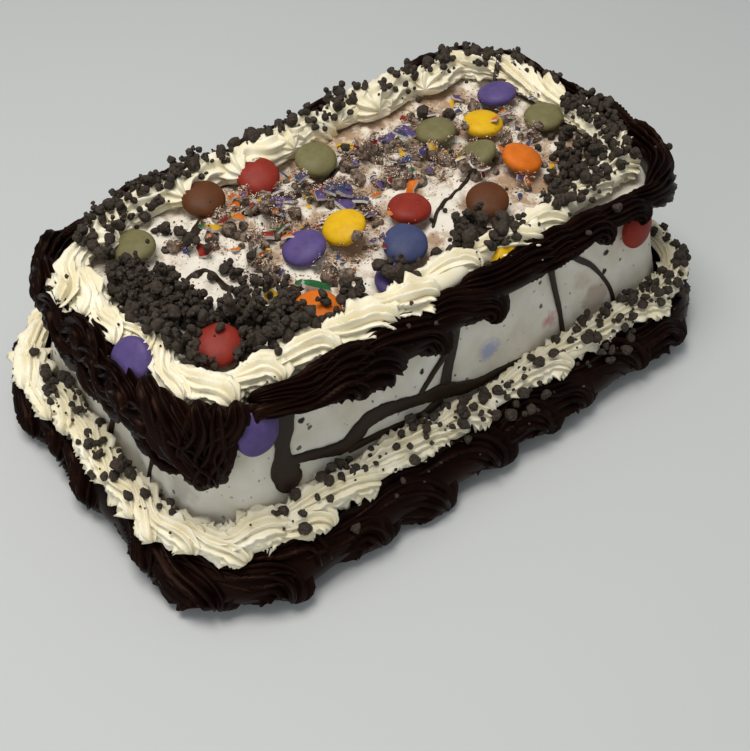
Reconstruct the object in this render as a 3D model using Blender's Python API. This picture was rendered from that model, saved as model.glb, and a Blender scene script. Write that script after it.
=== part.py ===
"""A loaf-shaped ice cream cake with piped borders, sugar-shelled chocolate buttons, crumbs and drizzle.

The ice cream loaf tapers upwards, as it left its tin. A chocolate border and a cream border are piped
round its foot, and another pair round its rim. Buttons, biscuit crumbs and broken buttons lie on top,
and chocolate sauce runs over the sides. Metres, +Z up, with the origin under the middle of the loaf.
"""

import math
import random

import bmesh
import bpy
from mathutils import Matrix, Vector

MM = 0.001
GAP = 0.3 * MM  # between pieces that touch
SEAT = 0.6 * MM  # from the loaf to its borders, whose faces cut across its round corners

# The ice cream loaf
LOAF_HEIGHT = 65 * MM
FOOT_HALF_X = 112 * MM
FOOT_HALF_Y = 64 * MM
RIM_HALF_X = 101 * MM
RIM_HALF_Y = 52 * MM
CORNER = 24 * MM
RIM_BEVEL = 2.5 * MM
CORNER_STEPS = 6

# The topping lies in the hollow inside the upper cream border
MOUND_INSET = 13.5 * MM
MOUND_RISE = 3.5 * MM
CRUMB_RADIUS = (1.3 * MM, 2.2 * MM)

# A sugar-shelled chocolate button
BUTTON_RADIUS = 7.5 * MM
BUTTON_THICKNESS = 6.2 * MM
POCKET = 1.0 + 2 * GAP / BUTTON_THICKNESS

# Every border's section is a star of five ridges
RIDGES = 5
SECTION_POINTS = 2 * RIDGES
STEPS_PER_SHELL = 4

# The seams where two borders meet: height at the loaf's side, and slope outwards
LOWER_SEAM_HEIGHT = 19 * MM
LOWER_SEAM_SLOPE = -0.35
UPPER_SEAM_SLOPE = 0.6

# Buttons as they lie: name, colour, place in mm, and the way the flat face looks
BUTTONS = [
    ("button_red_front", "red", (-80, -29, 71.5), (-0.15, -0.25, 1)),
    ("button_orange_front", "orange", (-46, -33, 70), (0.0, -0.05, 1)),
    ("button_purple_middle", "purple", (-33.5, -9, 72), (-0.3, 0.05, 1)),
    ("button_yellow_middle", "yellow", (-17.5, -9.5, 73), (-0.3, 0.05, 1)),
    ("button_blue", "blue", (-6, -27.5, 72), (-0.2, -0.25, 1)),
    ("button_red_middle", "red", (7, -14, 72), (0.0, 0.0, 1)),
    ("button_brown_right", "brown", (31.5, -26.5, 71.5), (-0.25, -0.2, 1)),
    ("button_brown_left", "brown", (-45, 33, 71.5), (-0.1, -0.25, 1)),
    ("button_red_back", "red", (-23, 32, 71.5), (-0.2, -0.35, 1)),
    ("button_green_back", "green", (-1, 28, 71.5), (-0.1, -0.25, 1)),
    ("button_green_centre", "green", (45, 16, 71), (-0.1, 0.1, 1)),
    ("button_yellow_back", "yellow", (61, 8, 72), (0.0, 0.0, 1)),
    ("button_green_leaning", "green", (46.5, -4.5, 71.5), (-0.35, 0.4, 1)),
    ("button_orange_back", "orange", (57.5, -16.5, 72), (0.2, -0.2, 1)),
    ("button_purple_back", "purple", (79.5, 20, 71.5), (-0.1, 0.15, 1)),
    ("button_green_right", "green", (84, -1, 70.5), (-0.1, 0.0, 1)),
    ("button_green_left", "green", (-76.5, 26.5, 70.5), (-0.15, 0.0, 1)),
    ("button_purple_tucked", "purple", (-18, -38, 69.5), (0.1, -0.2, 1)),
    ("button_purple_side", "purple", (-86, -57, 61.8), (0.1, -1, 0.3)),
    ("button_purple_end", "purple", (-102, -15, 67.5), (-1, -0.2, 0.8)),
    ("button_red_side", "red", (77, -57.5, 57), (0.1, -1, 0.2)),
    ("button_yellow_side", "yellow", (18, -52.5, 67.5), (0.0, -1, 0.6)),
]

# Sauce: half width in mm, then the route over the loaf's long side as (x, z) in mm
SIDE_SAUCE = [
    (2.2, [(-78, 50), (-77, 44), (-79, 37), (-76, 31), (-68, 32), (-60, 31)]),
    (2.3, [(-76, 42), (-62, 37), (-50, 38), (-38, 39), (-25, 37), (-9, 33), (7, 30), (18, 29), (32, 27), (44, 27)]),
    (1.9, [(-11, 34), (-10, 42), (-8, 49)]),
    (1.3, [(-58, 29), (-48, 28), (-34, 31), (-16, 32)]),
    (1.3, [(39, 51), (41, 44), (44, 28)]),
    (1.0, [(53, 51), (58, 47), (66, 37), (72, 33)]),
]
# The same over the loaf's left end, as (y, z)
END_SAUCE = [
    (1.3, [(-6, 37), (-5, 34), (-3, 31)]),
    (1.0, [(30, 38), (30, 36), (29, 32)]),
]

COLOURS = {
    "red": (0.42, 0.03, 0.02),
    "orange": (0.78, 0.17, 0.01),
    "purple": (0.10, 0.05, 0.27),
    "yellow": (0.80, 0.48, 0.02),
    "blue": (0.07, 0.10, 0.27),
    "brown": (0.14, 0.05, 0.025),
    "green": (0.20, 0.21, 0.12),
    "ice cream": (0.80, 0.76, 0.68),
    "whipped cream": (0.86, 0.82, 0.66),
    "chocolate frosting": (0.022, 0.009, 0.007),
}


# ---------------------------------------------------------------- outlines


def mixed(low, high, share):
    return low + (high - low) * share


def outline_at(height):
    """Half length, half width and corner radius of the loaf at a height."""
    share = min(max(height / LOAF_HEIGHT, 0.0), 1.0)
    return mixed(FOOT_HALF_X, RIM_HALF_X, share), mixed(FOOT_HALF_Y, RIM_HALF_Y, share), CORNER


def distance_outside(x, y, half_x, half_y, corner):
    """How far (x, y) lies outside a rounded rectangle, and the direction straight away from it."""
    past_x = abs(x) - (half_x - corner)
    past_y = abs(y) - (half_y - corner)
    if past_x > 0 and past_y > 0:
        reach = math.hypot(past_x, past_y)
        away = (past_x / reach, past_y / reach)
        distance = reach - corner
    elif past_x > past_y:
        away = (1.0, 0.0)
        distance = past_x - corner
    else:
        away = (0.0, 1.0)
        distance = past_y - corner
    return distance, Vector((math.copysign(away[0], x), math.copysign(away[1], y)))


def outline_point(half_x, half_y, corner, along):
    """The point at a distance along a rounded rectangle, and its outward direction. It starts at mid +X."""
    straight_x = 2 * (half_x - corner)
    straight_y = 2 * (half_y - corner)
    bend = corner * math.pi / 2
    turn = 0.0
    spot = Vector((half_x, 0.0))
    runs = [straight_y / 2, bend, straight_x, bend, straight_y, bend, straight_x, bend, straight_y / 2]
    for number, run in enumerate(runs):
        step = min(along, run)
        if number % 2:
            centre = spot - Vector((math.cos(turn), math.sin(turn))) * corner
            turn += step / corner
            spot = centre + Vector((math.cos(turn), math.sin(turn))) * corner
        else:
            spot = spot + Vector((-math.sin(turn), math.cos(turn))) * step
        along -= step
        if along <= 0:
            break
    return spot, Vector((math.cos(turn), math.sin(turn)))


def outline_length(half_x, half_y, corner):
    return 4 * (half_x + half_y - 2 * corner) + 2 * math.pi * corner


# ---------------------------------------------------------------- making and joining


def material(name):
    """A Principled material in the named colour."""
    found = bpy.data.materials.get(name)
    if found:
        return found
    made = bpy.data.materials.new(name)
    made.use_nodes = True
    shader = made.node_tree.nodes["Principled BSDF"]
    shader.inputs["Base Color"].default_value = (*COLOURS[name], 1.0)
    shader.inputs["Roughness"].default_value = 0.5
    return made


def object_of(shape, name, collection, colour=None):
    """An object holding a bmesh, which is freed."""
    mesh = bpy.data.meshes.new(name)
    shape.to_mesh(mesh)
    shape.free()
    if colour:
        mesh.materials.append(material(colour))
    made = bpy.data.objects.new(name, mesh)
    collection.objects.link(made)
    return made


def helper_collection(name):
    """A collection for pieces that are fused to another, or cut from it."""
    made = bpy.data.collections.new(name)
    bpy.context.scene.collection.children.link(made)
    made.hide_render = True
    return made


def combine(body, collection, operation):
    """Joins a collection's objects to a body, or cuts them from it, and applies that."""
    modifier = body.modifiers.new(operation.lower(), "BOOLEAN")
    modifier.operation = operation
    modifier.operand_type = "COLLECTION"
    modifier.collection = collection
    modifier.solver = "MANIFOLD"
    graph = bpy.context.evaluated_depsgraph_get()
    mesh = bpy.data.meshes.new_from_object(body.evaluated_get(graph))
    body.modifiers.clear()
    body.data = mesh


def drop_scraps(body):
    """Keeps the largest of the pieces that a cut has left."""
    shape = bmesh.new()
    shape.from_mesh(body.data)
    islands = []
    waiting = set(shape.verts)
    while waiting:
        island = {waiting.pop()}
        edge = set(island)
        while edge:
            near = {link.other_vert(vert) for vert in edge for link in vert.link_edges}
            edge = near - island
            island |= edge
        waiting -= island
        islands.append(island)
    islands.sort(key=len)
    for island in islands[:-1]:
        bmesh.ops.delete(shape, geom=list(island), context="VERTS")
    shape.to_mesh(body.data)
    shape.free()


def remove_all(collection):
    for item in list(collection.objects):
        bpy.data.objects.remove(item)
    bpy.data.collections.remove(collection)


# ---------------------------------------------------------------- the loaf and its topping


def loaf(collection):
    """A box that tapers upwards, with round corners and a softened rim."""
    shape = bmesh.new()
    bmesh.ops.create_cube(shape, size=2.0)
    for vert in shape.verts:
        at_top = vert.co.z > 0
        half_x, half_y, _ = outline_at(LOAF_HEIGHT if at_top else 0.0)
        vert.co = (vert.co.x * half_x, vert.co.y * half_y, LOAF_HEIGHT if at_top else 0.0)
    upright = [edge for edge in shape.edges if abs(edge.verts[0].co.z - edge.verts[1].co.z) > LOAF_HEIGHT / 2]
    bmesh.ops.bevel(
        shape,
        geom=upright,
        offset=CORNER,
        offset_type="OFFSET",
        segments=CORNER_STEPS,
        profile=0.5,
        affect="EDGES",
    )
    rim = [edge for edge in shape.edges if min(vert.co.z for vert in edge.verts) > LOAF_HEIGHT - MM]
    bmesh.ops.bevel(shape, geom=rim, offset=RIM_BEVEL, offset_type="OFFSET", segments=2, profile=0.5, affect="EDGES")
    return object_of(shape, "ice_cream_loaf", collection, "ice cream")


def mound_height(x, y):
    """How high the topping lies over the loaf's top, in gentle lumps that die away at the border."""
    inside, _ = distance_outside(x, y, RIM_HALF_X - MOUND_INSET, RIM_HALF_Y - MOUND_INSET, CORNER / 2)
    fade = min(max(-inside / (8 * MM), 0.0), 1.0)
    lumps = math.sin(x / (9 * MM)) * math.cos(y / (7 * MM)) + 0.6 * math.sin(x / (5 * MM) + y / (6 * MM))
    return MOUND_RISE * fade * (0.75 + 0.25 * lumps)


def mound(collection):
    """The lumpy layer of ice cream and crushed buttons under the toppings."""
    shape = bmesh.new()
    bmesh.ops.create_grid(shape, x_segments=18, y_segments=8, size=1.0)
    half_x = RIM_HALF_X - MOUND_INSET - 2 * MM
    half_y = RIM_HALF_Y - MOUND_INSET - 2 * MM
    for vert in shape.verts:
        x = vert.co.x * half_x
        y = vert.co.y * half_y
        vert.co = (x, y, LOAF_HEIGHT + 0.05 * MM + mound_height(x, y))
    bottom = bmesh.ops.extrude_face_region(shape, geom=shape.faces[:])
    for item in bottom["geom"]:
        if isinstance(item, bmesh.types.BMVert):
            item.co.z = LOAF_HEIGHT - 4 * MM
    bmesh.ops.recalc_face_normals(shape, faces=shape.faces)
    return object_of(shape, "mound", collection)


def crumb(collection, rng, place, radius):
    """One rough nugget."""
    shape = bmesh.new()
    bmesh.ops.create_icosphere(shape, subdivisions=1, radius=radius)
    stretch = Vector([rng.uniform(0.8, 1.2) for _ in range(3)])
    turned = Matrix.Rotation(rng.uniform(0, math.tau), 3, Vector((rng.random(), rng.random(), 1)))
    for vert in shape.verts:
        vert.co = turned @ (vert.co * rng.uniform(0.85, 1.1) * stretch) + place
    return object_of(shape, "crumb", collection)


def clear_of_buttons(place, margin):
    return all((place - Vector(at) * MM).length > BUTTON_RADIUS + margin for _, _, at, _ in BUTTONS)


def topping_share(x, y):
    """How thickly crumbs lie on top, from 0 to 1: a heap at the near left, and drifts along two edges."""
    heap = math.exp(-(((x + 72 * MM) / (20 * MM)) ** 2) - ((y + 2 * MM) / (26 * MM)) ** 2)
    near_drift = math.exp(-(((x - 2 * MM) / (28 * MM)) ** 2) - ((y + 36 * MM) / (6 * MM)) ** 2)
    far_drift = math.exp(-(((x - 76 * MM) / (14 * MM)) ** 2) - ((y + 22 * MM) / (14 * MM)) ** 2)
    return max(heap, 0.9 * near_drift, 0.8 * far_drift, 0.12)


def top_crumbs(collection, rng, wanted):
    """Crumbs half sunk in the mound, thickest in the heap, none touching another node."""
    half_x = RIM_HALF_X - MOUND_INSET - 4.5 * MM
    half_y = RIM_HALF_Y - MOUND_INSET - 4.5 * MM
    placed = []
    tries = 0
    while len(placed) < wanted and tries < 60 * wanted:
        tries += 1
        x = rng.uniform(-half_x, half_x)
        y = rng.uniform(-half_y, half_y)
        if rng.random() > topping_share(x, y):
            continue
        radius = rng.uniform(*CRUMB_RADIUS)
        place = Vector((x, y, LOAF_HEIGHT + mound_height(x, y) + 0.3 * radius))
        if any((place - other).length < 1.7 * radius for other in placed):
            continue
        if not clear_of_buttons(place, 0.2 * radius):
            continue
        placed.append(place)
        crumb(collection, rng, place, radius)


def sauce(collection, half_width, route):
    """A band of set sauce that follows a route, half sunk in the loaf's side."""
    line = bpy.data.curves.new("sauce", "CURVE")
    line.dimensions = "3D"
    line.bevel_depth = half_width
    line.bevel_resolution = 0
    line.use_fill_caps = True
    spline = line.splines.new("POLY")
    spline.points.add(len(route) - 1)
    for point, place in zip(spline.points, route):
        point.co = (*place, 1.0)
    guide = bpy.data.objects.new("sauce_line", line)
    collection.objects.link(guide)
    graph = bpy.context.evaluated_depsgraph_get()
    mesh = bpy.data.meshes.new_from_object(guide.evaluated_get(graph))
    bpy.data.objects.remove(guide)
    shape = bmesh.new()
    shape.from_mesh(mesh)
    bmesh.ops.remove_doubles(shape, verts=shape.verts, dist=0.0001)
    return shape


def flattened(shape, collection, depth_of):
    """Presses a band against the loaf, so that it stands proud by a third of its half width."""
    for vert in shape.verts:
        surface, away = depth_of(vert.co)
        proud = (vert.co - surface).dot(away)
        vert.co -= away * proud * 0.62
    object_of(shape, "sauce", collection)


def on_long_side(place):
    half_y = outline_at(place.z)[1]
    return Vector((place.x, -half_y, place.z)), Vector((0, -1, 0))


def on_left_end(place):
    half_x = outline_at(place.z)[0]
    return Vector((-half_x, place.y, place.z)), Vector((-1, 0, 0))


def side_sauce(collection):
    for width, route in SIDE_SAUCE:
        places = [on_long_side(Vector((x * MM, 0, z * MM)))[0] for x, z in route]
        flattened(sauce(collection, width * MM, places), collection, on_long_side)
    for width, route in END_SAUCE:
        places = [on_left_end(Vector((0, y * MM, z * MM)))[0] for y, z in route]
        flattened(sauce(collection, width * MM, places), collection, on_left_end)


# ---------------------------------------------------------------- piped borders


def shell_steps(rng, shells):
    """(share of the way round, share of the way along its shell, shell number) for every section."""
    widths = [rng.uniform(0.75, 1.25) for _ in range(shells)]
    total = sum(widths)
    steps = []
    passed = 0.0
    for number, width in enumerate(widths):
        for step in range(STEPS_PER_SHELL):
            share = step / STEPS_PER_SHELL
            steps.append(((passed + width * share) / total, share, number))
        passed += width
    return steps


def swell(share):
    """A shell is fattest just after its start, and trails off to its tail."""
    return 0.74 + 0.37 * math.sin(math.pi * share**0.55)


def border(collection, name, colour, outline, section_of, fitted, shells, seed):
    """A ring of piped shells: star sections along a rounded rectangle, joined into a closed tube."""
    rng = random.Random(seed)
    length = outline_length(*outline)
    wander = [rng.uniform(-1.0, 1.0) for _ in range(shells)]
    shape = bmesh.new()
    rings = []
    for way_round, share, number in shell_steps(rng, shells):
        spot, outward = outline_point(*outline, way_round * length)
        centre, across, up = section_of(spot.x, spot.y)
        size = swell(share) * (1 + 0.06 * wander[number])
        twist = 0.35 * math.sin(math.tau * share + wander[number])
        ring = []
        for point in range(SECTION_POINTS):
            angle = math.tau * point / SECTION_POINTS + twist
            ridge = 1.07 if point % 2 else 0.86
            out = across * size * ridge * math.cos(angle)
            rise = up * size * ridge * math.sin(angle)
            place = Vector((spot.x + outward.x * out, spot.y + outward.y * out, centre + rise))
            ring.append(shape.verts.new(fitted(place)))
        rings.append(ring)
    for ring, after in zip(rings, rings[1:] + rings[:1]):
        for point in range(SECTION_POINTS):
            following = (point + 1) % SECTION_POINTS
            shape.faces.new((ring[point], after[point], after[following], ring[following]))
    bmesh.ops.triangulate(shape, faces=shape.faces)
    return object_of(shape, name, collection, colour)


def off_the_loaf(place):
    """Moves a point that would be in the loaf out to just beyond its side."""
    distance, away = distance_outside(place.x, place.y, *outline_at(place.z))
    if distance < SEAT:
        place = place + Vector((away.x, away.y, 0)) * (SEAT - distance)
    return place


def lower_seam(place):
    distance, _ = distance_outside(place.x, place.y, *outline_at(LOWER_SEAM_HEIGHT))
    return LOWER_SEAM_HEIGHT + LOWER_SEAM_SLOPE * max(distance, 0.0)


def fit_lower_chocolate(place):
    place = place.copy()
    place.z = max(0.0, min(place.z, lower_seam(place) - GAP / 2))
    return off_the_loaf(place)


def fit_lower_cream(place):
    place = off_the_loaf(place)
    place.z = max(place.z, lower_seam(place) + GAP / 2)
    return off_the_loaf(place)


def past_upper_seam(place):
    """How far a point lies outside the seam that leans outwards from the loaf's rim."""
    distance, away = distance_outside(place.x, place.y, *outline_at(LOAF_HEIGHT))
    return distance - UPPER_SEAM_SLOPE * (place.z - LOAF_HEIGHT), away


def fit_upper_chocolate(place):
    place = off_the_loaf(place)
    if place.z > LOAF_HEIGHT - MM:
        past, away = past_upper_seam(place)
        if past < GAP:
            place = place + Vector((away.x, away.y, 0)) * (GAP - past)
    return place


def fit_upper_cream(place):
    place = place.copy()
    place.z = max(place.z, LOAF_HEIGHT + GAP)
    past, away = past_upper_seam(place)
    if past > -GAP:
        place -= Vector((away.x, away.y, 0)) * (past + GAP)
    return place


def lower_chocolate_section(x, y):
    return 8.5 * MM, 10.5 * MM, 11 * MM


def lower_cream_section(x, y):
    return 23 * MM, 7.6 * MM, 7.5 * MM


def upper_chocolate_section(x, y):
    """It hangs lowest at the near left corner, low at the left end, and little elsewhere."""
    left = min(max((-x - 75 * MM) / (20 * MM), 0.0), 1.0)
    right = min(max((x - 85 * MM) / (15 * MM), 0.0), 1.0)
    corner = math.exp(-(((x + 98 * MM) / (12 * MM)) ** 2) - ((y + 48 * MM) / (14 * MM)) ** 2)
    lowest = (51 - 11 * left - 4 * right - 5 * corner) * MM
    highest = 70 * MM
    return (lowest + highest) / 2, 8 * MM, (highest - lowest) / 2


def upper_cream_section(x, y):
    return 71 * MM, 8 * MM, 6.8 * MM


LOWER_CHOCOLATE_LINE = (113.5 * MM, 69.5 * MM, 32 * MM)
LOWER_CREAM_LINE = (112.5 * MM, 66.5 * MM, 30 * MM)
UPPER_CHOCOLATE_LINE = (105 * MM, 56 * MM, 26 * MM)
UPPER_CREAM_LINE = (96.5 * MM, 47 * MM, 20 * MM)

BORDERS = [
    ("lower_chocolate_border", "chocolate frosting", LOWER_CHOCOLATE_LINE, lower_chocolate_section, fit_lower_chocolate, 20, 3),
    ("lower_cream_border", "whipped cream", LOWER_CREAM_LINE, lower_cream_section, fit_lower_cream, 22, 5),
    ("upper_chocolate_border", "chocolate frosting", UPPER_CHOCOLATE_LINE, upper_chocolate_section, fit_upper_chocolate, 20, 7),
    ("upper_cream_border", "whipped cream", UPPER_CREAM_LINE, upper_cream_section, fit_upper_cream, 22, 11),
]


def border_crumbs(collection, rng, outline, section_of, lean, wanted):
    """Crumbs pressed into a border's crown, a little to one side of its middle."""
    placed = []
    while len(placed) < wanted:
        spot, outward = outline_point(*outline, rng.random() * outline_length(*outline))
        centre, across, up = section_of(spot.x, spot.y)
        angle = math.radians(90 + rng.uniform(-25, 25)) + lean
        out = 0.9 * across * math.cos(angle)
        place = Vector((spot.x + outward.x * out, spot.y + outward.y * out, centre + 0.9 * up * math.sin(angle)))
        radius = rng.uniform(*CRUMB_RADIUS)
        if any((place - other).length < 3 * radius for other in placed) or not clear_of_buttons(place, 1.5 * radius):
            continue
        placed.append(place)
        crumb(collection, rng, place, radius)


# ---------------------------------------------------------------- buttons


def button(collection, name, place, facing, grow=1.0, colour=None):
    """A lens of chocolate in its sugar shell, lying the way it faces."""
    shape = bmesh.new()
    bmesh.ops.create_icosphere(shape, subdivisions=2, radius=1.0)
    flat = Matrix.Diagonal((BUTTON_RADIUS, BUTTON_RADIUS, BUTTON_THICKNESS / 2)) * grow
    turned = Vector(facing).to_track_quat("Z", "Y").to_matrix()
    for vert in shape.verts:
        vert.co = turned @ (flat @ vert.co) + Vector(place) * MM
    made = object_of(shape, name, collection, colour)
    made.data.shade_smooth()
    return made


def main():
    for old in list(bpy.data.objects):
        bpy.data.objects.remove(old)
    cake = bpy.data.collections.new("ice_cream_cake")
    bpy.context.scene.collection.children.link(cake)

    base = loaf(cake)
    toppings = helper_collection("toppings")
    mound(toppings)
    top_crumbs(toppings, random.Random(17), 62)
    side_sauce(toppings)
    combine(base, toppings, "UNION")
    remove_all(toppings)

    rings = {}
    for name, colour, outline, section_of, fitted, shells, seed in BORDERS:
        rings[name] = border(cake, name, colour, outline, section_of, fitted, shells, seed)
    sprinkled = [
        ("lower_cream_border", LOWER_CREAM_LINE, lower_cream_section, 0.0, 14),
        ("upper_cream_border", UPPER_CREAM_LINE, upper_cream_section, 0.0, 14),
    ]
    for name, outline, section_of, lean, wanted in sprinkled:
        crumbs = helper_collection("crumbs")
        border_crumbs(crumbs, random.Random(len(name)), outline, section_of, lean, wanted)
        combine(rings[name], crumbs, "UNION")
        remove_all(crumbs)

    pockets = helper_collection("pockets")
    for name, colour, place, facing in BUTTONS:
        button(pockets, name + "_pocket", place, facing, POCKET)
    for body in [base, *rings.values()]:
        combine(body, pockets, "DIFFERENCE")
        drop_scraps(body)
    remove_all(pockets)
    for name, colour, place, facing in BUTTONS:
        button(cake, name, place, facing, 1.0, colour)


main()
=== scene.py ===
"""The looks of an ice cream cake: a cookies and cream loaf with piped borders and a heap of toppings.

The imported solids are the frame. Each section below makes one piece, or one group of like pieces, in the
order in which the cake is put together. Metres, +Z up.
"""

import math

import bpy
import numpy as np
from mathutils import Matrix, Vector
from mathutils.bvhtree import BVHTree


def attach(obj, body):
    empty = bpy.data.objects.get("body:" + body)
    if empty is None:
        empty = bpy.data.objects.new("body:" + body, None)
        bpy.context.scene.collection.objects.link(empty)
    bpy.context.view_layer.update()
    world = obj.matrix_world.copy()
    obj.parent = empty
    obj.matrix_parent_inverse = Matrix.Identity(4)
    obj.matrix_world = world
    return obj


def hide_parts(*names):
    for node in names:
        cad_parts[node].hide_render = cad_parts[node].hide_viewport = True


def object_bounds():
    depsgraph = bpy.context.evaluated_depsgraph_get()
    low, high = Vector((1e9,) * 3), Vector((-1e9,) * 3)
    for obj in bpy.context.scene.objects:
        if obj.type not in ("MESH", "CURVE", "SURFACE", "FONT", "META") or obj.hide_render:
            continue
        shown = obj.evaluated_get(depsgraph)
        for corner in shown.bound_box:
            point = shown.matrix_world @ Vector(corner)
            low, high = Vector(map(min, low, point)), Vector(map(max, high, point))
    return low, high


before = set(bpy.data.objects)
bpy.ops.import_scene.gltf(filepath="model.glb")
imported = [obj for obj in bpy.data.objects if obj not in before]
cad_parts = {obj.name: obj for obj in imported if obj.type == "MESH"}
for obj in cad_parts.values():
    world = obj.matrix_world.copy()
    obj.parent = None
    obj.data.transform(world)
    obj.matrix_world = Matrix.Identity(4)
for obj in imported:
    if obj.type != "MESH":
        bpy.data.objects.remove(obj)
cad_low, cad_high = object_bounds()
MM = 0.001

# ---------------------------------------------------------------- the table, the light and the camera
# The cake stands on a plain pale table under a broad soft ceiling light, with a window to its left.
# The table is a flat sheet with a fine matt grain, far larger than the view.


def paint(code):
    """The linear colour of an sRGB hex value."""
    shades = [int(code[start : start + 2], 16) / 255 for start in (1, 3, 5)]
    return (*[s / 12.92 if s <= 0.04045 else ((s + 0.055) / 1.055) ** 2.4 for s in shades], 1.0)


def finish(name, **values):
    """A new material with its Principled shader set, as (material, node tree, shader)."""
    made = bpy.data.materials.new(name)
    made.use_nodes = True
    shader = made.node_tree.nodes["Principled BSDF"]
    for socket, value in values.items():
        shader.inputs[socket.replace("_", " ")].default_value = value
    return made, made.node_tree, shader


def node(tree, kind, links=(), **settings):
    """Adds a node: settings go to its properties or sockets, and links join outputs to its sockets."""
    made = tree.nodes.new("ShaderNode" + kind)
    for key, value in settings.items():
        if hasattr(made, key):
            setattr(made, key, value)
        else:
            made.inputs[key.replace("_", " ")].default_value = value
    for socket, source in dict(links).items():
        tree.links.new(source, made.inputs[socket])
    return made


def roughen(tree, shader, size, strength, depth, **settings):
    """Gives a finish its fine relief: noise with features of one size, and its strength and depth."""
    place = node(tree, "TexCoord")
    grain = node(tree, "TexNoise", {"Vector": place.outputs["Object"]}, Scale=1 / size, **settings)
    relief = node(tree, "Bump", {"Height": grain.outputs["Fac"]}, Strength=strength, Distance=depth)
    tree.links.new(relief.outputs["Normal"], shader.inputs["Normal"])


# Matt paint scatters the light and mirrors nothing. Its grain is drawn coarser than it is, so as to show.
table_top, tree, shader = finish("painted_table", Base_Color=paint("#bec0bf"), Roughness=0.75)
roughen(tree, shader, 2 * MM, 0.05, 0.1 * MM)

TABLE_SIZE = 6
TABLE_GAP = 0.3 * MM  # under the cake's foot
bpy.ops.mesh.primitive_plane_add(size=TABLE_SIZE, location=(0, 0, -TABLE_GAP))
table = bpy.context.object
table.name = "table_top"
table.data.materials.append(table_top)

room = bpy.data.worlds.new("bright_room")
room.use_nodes = True
room.node_tree.nodes["Background"].inputs["Color"].default_value = paint("#e9eef2")
room.node_tree.nodes["Background"].inputs["Strength"].default_value = 0.42
bpy.context.scene.world = room
bpy.context.scene.view_settings.view_transform = "Standard"


def soft_light(name, place, target, size, energy, colour):
    """A rectangular light that faces a point."""
    light = bpy.data.lights.new(name, "AREA")
    light.shape = "RECTANGLE"
    light.size, light.size_y = size
    light.energy = energy
    light.color = colour
    lamp = bpy.data.objects.new(name, light)
    lamp.location = place
    lamp.rotation_euler = (Vector(target) - lamp.location).to_track_quat("-Z", "Y").to_euler()
    bpy.context.scene.collection.objects.link(lamp)


soft_light("ceiling_light", (-0.16, 0.03, 0.85), (0, 0, 0.05), (0.45, 0.4), 6.0, (1.0, 0.97, 0.93))
soft_light("window_light", (-1.0, -0.45, 0.35), (0, 0, 0.04), (0.8, 0.8), 2.8, (0.94, 0.97, 1.0))

CAMERA_PLACE = Vector((-0.1992, -0.2438, 0.3135))
HEADING = math.radians(49.94)
PITCH = math.radians(46.39)
ROLL = math.radians(1.67)
LENS = 54.87
ahead = Vector((math.cos(HEADING) * math.cos(PITCH), math.sin(HEADING) * math.cos(PITCH), -math.sin(PITCH)))
camera = bpy.data.objects.new("camera", bpy.data.cameras.new("camera"))
camera.data.lens = LENS
camera.data.sensor_width = 36
camera.location = CAMERA_PLACE
level = ahead.to_track_quat("-Z", "Y").to_matrix()
camera.rotation_euler = (level @ Matrix.Rotation(ROLL, 3, "Z")).to_euler()
bpy.context.scene.collection.objects.link(camera)
bpy.context.scene.camera = camera

# ---------------------------------------------------------------- the ice cream loaf
# Vanilla ice cream with ground cookies, frozen hard in a loaf tin and turned out upside down.
# The warm tin leaves its sides smooth and slightly melted, with dark specks and a few fruit-coloured bits.

LOAF_HEIGHT = 65 * MM
FOOT = (112 * MM, 64 * MM)
RIM = (101 * MM, 52 * MM)
CORNER = 24 * MM
RIM_ROUNDING = 3 * MM
LOAF_COLUMNS = 420
LOAF_ROWS = 44


def ripples(points, size, seed, waves=7):
    """Smooth unevenness from about -1 to 1, with features of about one size: waves that cross each other."""
    rng = np.random.default_rng(seed)
    total = np.zeros(len(points))
    for _ in range(waves):
        direction = rng.normal(size=3)
        direction *= math.tau / (np.linalg.norm(direction) * size * rng.uniform(0.7, 1.7))
        total += np.sin(points @ direction + rng.uniform(0, math.tau))
    return total / math.sqrt(waves)


QUARTER_STEPS = 24


def rounded_line(half_x, half_y, corner):
    """A rounded rectangle, anticlockwise: distances along it, with the points and outward turns there."""
    quarter = np.linspace(0, math.pi / 2, QUARTER_STEPS)
    turn = np.concatenate([quarter + side * math.pi / 2 for side in range(4)] + [[math.tau]])
    corner_x = (half_x - corner) * np.append(np.repeat([1, -1, -1, 1], QUARTER_STEPS), 1)
    corner_y = (half_y - corner) * np.append(np.repeat([1, 1, -1, -1], QUARTER_STEPS), 1)
    points = np.stack([corner_x + corner * np.cos(turn), corner_y + corner * np.sin(turn)], 1)
    along = np.concatenate([[0], np.cumsum(np.linalg.norm(np.diff(points, axis=0), axis=1))])
    return along, points, turn


def on_line(line, distance):
    """Points on a rounded line and the outward directions there, as flat 3-D vectors."""
    along, points, turn = line
    distance = np.mod(distance, along[-1])
    at = [np.interp(distance, along, points[:, axis]) for axis in (0, 1)]
    facing = np.interp(distance, along, turn)
    level = np.zeros_like(facing)
    return np.stack([*at, level], 1), np.stack([np.cos(facing), np.sin(facing), level], 1)


def piece(name, points, faces, material, smooth=True, index=None, stands_for=None):
    """A mesh object that rides on the cake. It has one material, or a list and each face's index in it."""
    mesh = bpy.data.meshes.new(name)
    mesh.from_pydata(np.asarray(points), [], faces.tolist() if isinstance(faces, np.ndarray) else faces)
    for one in material if isinstance(material, list) else [material]:
        mesh.materials.append(one)
    mesh.polygons.foreach_set("use_smooth", [smooth] * len(mesh.polygons))
    if index is not None:
        mesh.polygons.foreach_set("material_index", np.asarray(index, dtype=np.int32))
    mesh.update()
    made = bpy.data.objects.new(name, mesh)
    bpy.context.scene.collection.objects.link(made)
    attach(made, "root")
    if stands_for:
        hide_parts(stands_for)
    return made


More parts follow.
